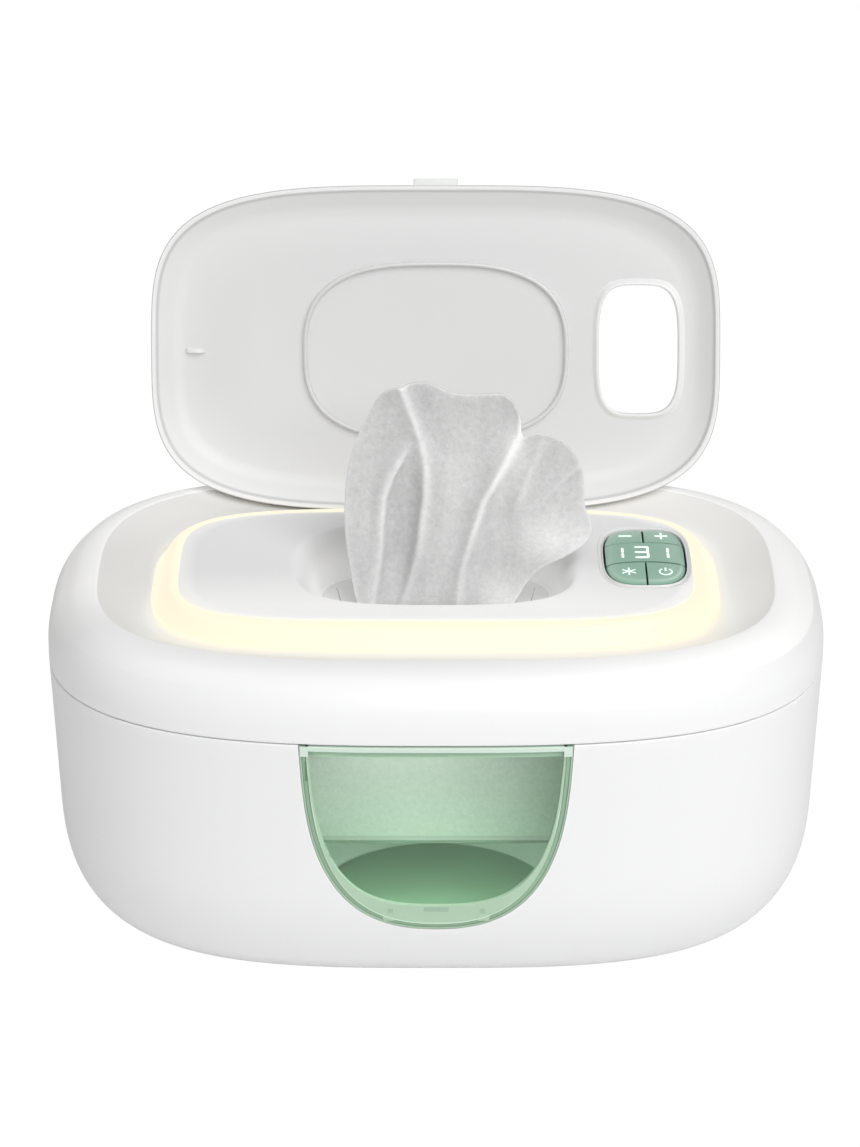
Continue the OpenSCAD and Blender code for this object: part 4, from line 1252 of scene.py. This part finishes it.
# The wipe's outline as four edges, each a path of x and z.
WIPE_LEFT = [(-24.5, WIPE_FOOT), (-25.8, 112), (-26.9, 116.5), (-28, 123.3), (-29.5, 134.1),
             (-29.7, 144.2), (-28.8, 155.8), (-25.9, 167), (-22.7, 174.2), (-19.6, 180.5)]
WIPE_RIGHT = [(23.5, WIPE_FOOT), (26.2, 112.2), (30, 119.1), (34.9, 124.6), (41.7, 128.6), (47.9, 132.8),
              (50.3, 136.1), (50.6, 139.5), (48.3, 145.6), (47.5, 157), (44.4, 163.7), (39.4, 167.1),
              (35.7, 166.3), (31.6, 166), (29.3, 167), (27.6, 170.8), (27.1, 175.6), (25.3, 180)]
WIPE_TOP = [(-19.6, 180.5), (-17.3, 183.4), (-14.2, 185.4), (-11.1, 186.1), (-3.9, 187.1), (0.6, 185.6),
            (5.1, 183.7), (11.8, 183), (19.9, 183.2), (23.1, 182.2), (25.3, 180)]

# Each fold: its path as height and x, how far it stands out, its reach to the left and right at its foot
# and at its top, and the width of the painted highlight on its crest to the left and right.
FOLDS = [
    ([(WIPE_FOOT, -12), (116.5, -9.4), (128.6, -6.3), (138, -5), (149, -3.7), (159, -3.4), (168, -4.9),
      (175, -7.2), (181, -9.5), (187, -11.5)], 2.7, (1.3, 9), (5, 1.8), (0.8, 2.0)),
    ([(WIPE_FOOT, -20.9), (117.7, -19.4), (128.6, -17.9), (138.9, -17.5), (147.8, -16.8), (155.7, -14.3),
      (162, -11)], 3.0, (3.2, 1.4), (4, 1.8), (2.6, 0.8)),
    ([(WIPE_FOOT, 7), (115, 7.5), (124.7, 8.7), (135.5, 11.7), (147.8, 15.5), (159.1, 21.6), (170.5, 27),
      (184, 29)], 3.2, (3.0, 2.2), (4.5, 5), (0.9, 2.6)),
    ([(145, 26.2), (150, 28), (161.1, 32), (167, 34)], 1.0, (2.0, 3.4), (2.2, 3.6), (1.2, 2.0)),
    ([(148, 36), (152.7, 40), (157.9, 46), (160, 49)], 0.8, (1.5, 1.5), (1.5, 1.5), (1.0, 1.0))]

# Broad patches of painted light and shade on the wipe: the middle in x and z, the reach in both, and the
# gain.
CLOUDS = [
    (25, 167, 4.5, 9, 0.30), (21.5, 154, 3, 7, 0.15), (-3.5, 181, 3.5, 10, -0.16), (18, 176, 7, 9, -0.08),
    (-16.5, 166, 6, 14, -0.05), (3, 136, 4, 16, 0.10), (9.5, 158, 5, 14, 0.08), (-21, 138, 2.4, 18, 0.10),
    (35, 160, 4, 9, -0.06), (30, 140, 4, 10, -0.03)]


def along(path, count):
    """Evenly spaced places on a smooth curve through a path."""
    fine = smooth_path(path, 8)
    lengths = [0.0]
    for a, b in zip(fine, fine[1:]):
        lengths.append(lengths[-1] + math.dist(a, b))
    out, i = [], 0
    for k in range(count + 1):
        goal = lengths[-1] * k / count
        while i < len(fine) - 2 and lengths[i + 1] < goal:
            i += 1
        t = (goal - lengths[i]) / (lengths[i + 1] - lengths[i])
        out.append((mix(fine[i][0], fine[i + 1][0], t), mix(fine[i][1], fine[i + 1][1], t)))
    return out


def fold_at(fold, x, z):
    """How strongly a fold stands out at a place, and the signed distance from its crest."""
    path, height, foot_reach, top_reach = fold[:4]
    if not path[0][0] - 6 <= z <= path[-1][0] + 6:
        return 0.0, 99.0
    (za, xa), (zb, xb) = path[-2:] if z > path[-1][0] else path[:2]
    crest = mix(xa, xb, (z - za) / (zb - za))
    for (z0, x0), (z1, x1) in zip(path, path[1:]):
        if z0 <= z <= z1:
            crest = mix(x0, x1, (z - z0) / (z1 - z0))
    t = clamp((z - 150) / 18)
    away = x - crest
    side = 0 if away < 0 else 1
    reach = mix(foot_reach[side], top_reach[side], t)
    fade = 1.0
    if path[0][0] > 112:
        fade *= clamp((z - path[0][0] + 6) / 8)
    if path[-1][0] < 180:
        fade *= clamp((path[-1][0] + 6 - z) / 8)
    return height * fade * math.exp(-abs(away / reach) ** 1.6), away


def wipe_place(x, z):
    """How far the cloth stands to the rear at a place, and how much painted light and shade it gets from its
    folds and patches.
    """
    lean = 4.2 * clamp((z - 118) / 60) ** 1.2
    gathered = min(1.0, 0.3 + (z - WIPE_FOOT) / 25)
    y, pale = 0.0, 0.26
    for fold in FOLDS:
        out, away = fold_at(fold, x, z)
        y -= out * gathered
        crest = math.exp(-(away / fold[4][1 if away > 0 else 0]) ** 2)
        pale += 0.55 * (out / 3.2) * crest * min(1.0, 0.4 + max(0, z - 112) / 45)
    for cx, cz, rx, rz, gain in CLOUDS:
        pale += gain * math.exp(-((x - cx) / rx) ** 2 - ((z - cz) / rz) ** 2)
    pale += 0.10 * noise.noise(Vector((x * 0.22, z * 0.035, 1.3))) + 0.0016 * (150 - z)
    # the valley between the two left folds lies back, with painted shade on it
    if WIPE_FOOT <= z <= 158:
        middle = mix(-16, -9.5, (z - WIPE_FOOT) / 49)
        valley = math.exp(-abs((x - middle) / 5.5) ** 3) * min(1.0, (158 - z) / 14)
        y += 2.2 * valley * gathered
        pale -= 0.10 * valley
    # the lower right edge curls towards the light, with a painted highlight on it and on a patch near the
    # foot
    curl = math.exp(-((x - 40) ** 2 + 2.2 * (z - 131) ** 2) / 190)
    y -= 3.0 * curl
    pale += 0.42 * curl + 0.35 * math.exp(-((x - 24) / 8) ** 2 - ((z - 113) / 9) ** 2)
    y += 1.0 * noise.noise(Vector((x * 0.07, z * 0.05, 4.2)))
    return lean + y, clamp(pale)


def make_wipe():
    columns, rows = 130, 110
    left, right, top = along(WIPE_LEFT, rows), along(WIPE_RIGHT, rows), along(WIPE_TOP, columns)
    foot = [(mix(left[0][0], right[0][0], k / columns), WIPE_FOOT) for k in range(columns + 1)]
    vertices, pale = [], []
    for i in range(rows + 1):
        v = i / rows
        for k in range(columns + 1):
            u = k / columns
            place = [(1 - v) * foot[k][a] + v * top[k][a] + (1 - u) * left[i][a] + u * right[i][a]
                     - (1 - u) * (1 - v) * foot[0][a] - u * (1 - v) * foot[-1][a]
                     - (1 - u) * v * top[0][a] - u * v * top[-1][a] for a in (0, 1)]
            y, light = wipe_place(*place)
            edge = min(u * 58, (1 - u) * 58, (1 - v) * 72)
            vertices.append((place[0], y, place[1]))
            # a painted highlight along the cloth's cut edges
            pale.append(min(1.0, light + 0.32 * math.exp(-edge / 0.6)))
    wide = columns + 1
    faces = [(i * wide + k, i * wide + k + 1, (i + 1) * wide + k + 1, (i + 1) * wide + k)
             for i in range(rows) for k in range(columns)]
    wipe = add_piece("standing_wipe", vertices, faces, 180)
    store_values(wipe, "painted_cloth_light", pale)
    thick = wipe.modifiers.new("thickness", "SOLIDIFY")
    thick.thickness = 0.5 * MM
    thick.offset = 0
    dress(wipe, "cover", CLOTH, ["wipe"])
    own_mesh(wipe)


# ---- carried construction nodes ----

CARRIED = {
    "non_slip_pad": RUBBER, "bottom_cover": INNER_WHITE, "bottom_screws": STEEL,
    "heater_plate": PLATE_METAL, "heater_film": FILM, "insulation_pad": FELT, "thermal_fuse": FELT,
    "warmth_sensor": BLACK, "power_board": BOARD, "power_inlet": BLACK, "base_hinge_leaf": WHITE,
    "cover_hinge_pin": STEEL, "cover_seal": SILICONE,
    "cover_hinge_leaf": WHITE, "cover_catches": INNER_WHITE, "inner_frame": INNER_WHITE,
    "light_strip": BOARD, "membrane_retainer": INNER_WHITE,
    "control_board": BOARD, "key_switches": BLACK, "digit_display": BLACK,
    "lid_hinge_bracket": WHITE, "lid_hinge_pins": STEEL, "lid_hinge_leaves": WHITE}


def dress_carried():
    for node, material in CARRIED.items():
        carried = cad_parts[node]
        carried.data.materials.clear()
        carried.data.materials.append(material)


set_camera()
set_world()
add_floor()
for lamp_name, lamp in STUDIO_LAMPS.items():
    add_lamp(lamp_name, *lamp)
for lamp_name, lamp in TANK_LAMPS.items():
    add_lamp(lamp_name, *lamp, hidden=True)

make_base_shell()
make_window()
make_tank()
make_lifter()
make_springs()
make_stack()
make_cover_shell()
make_light_ring()
make_deck()
make_membrane()
make_panel()
make_lid()
make_wipe()
dress_carried()

bpy.context.scene.view_settings.view_transform = "Standard"
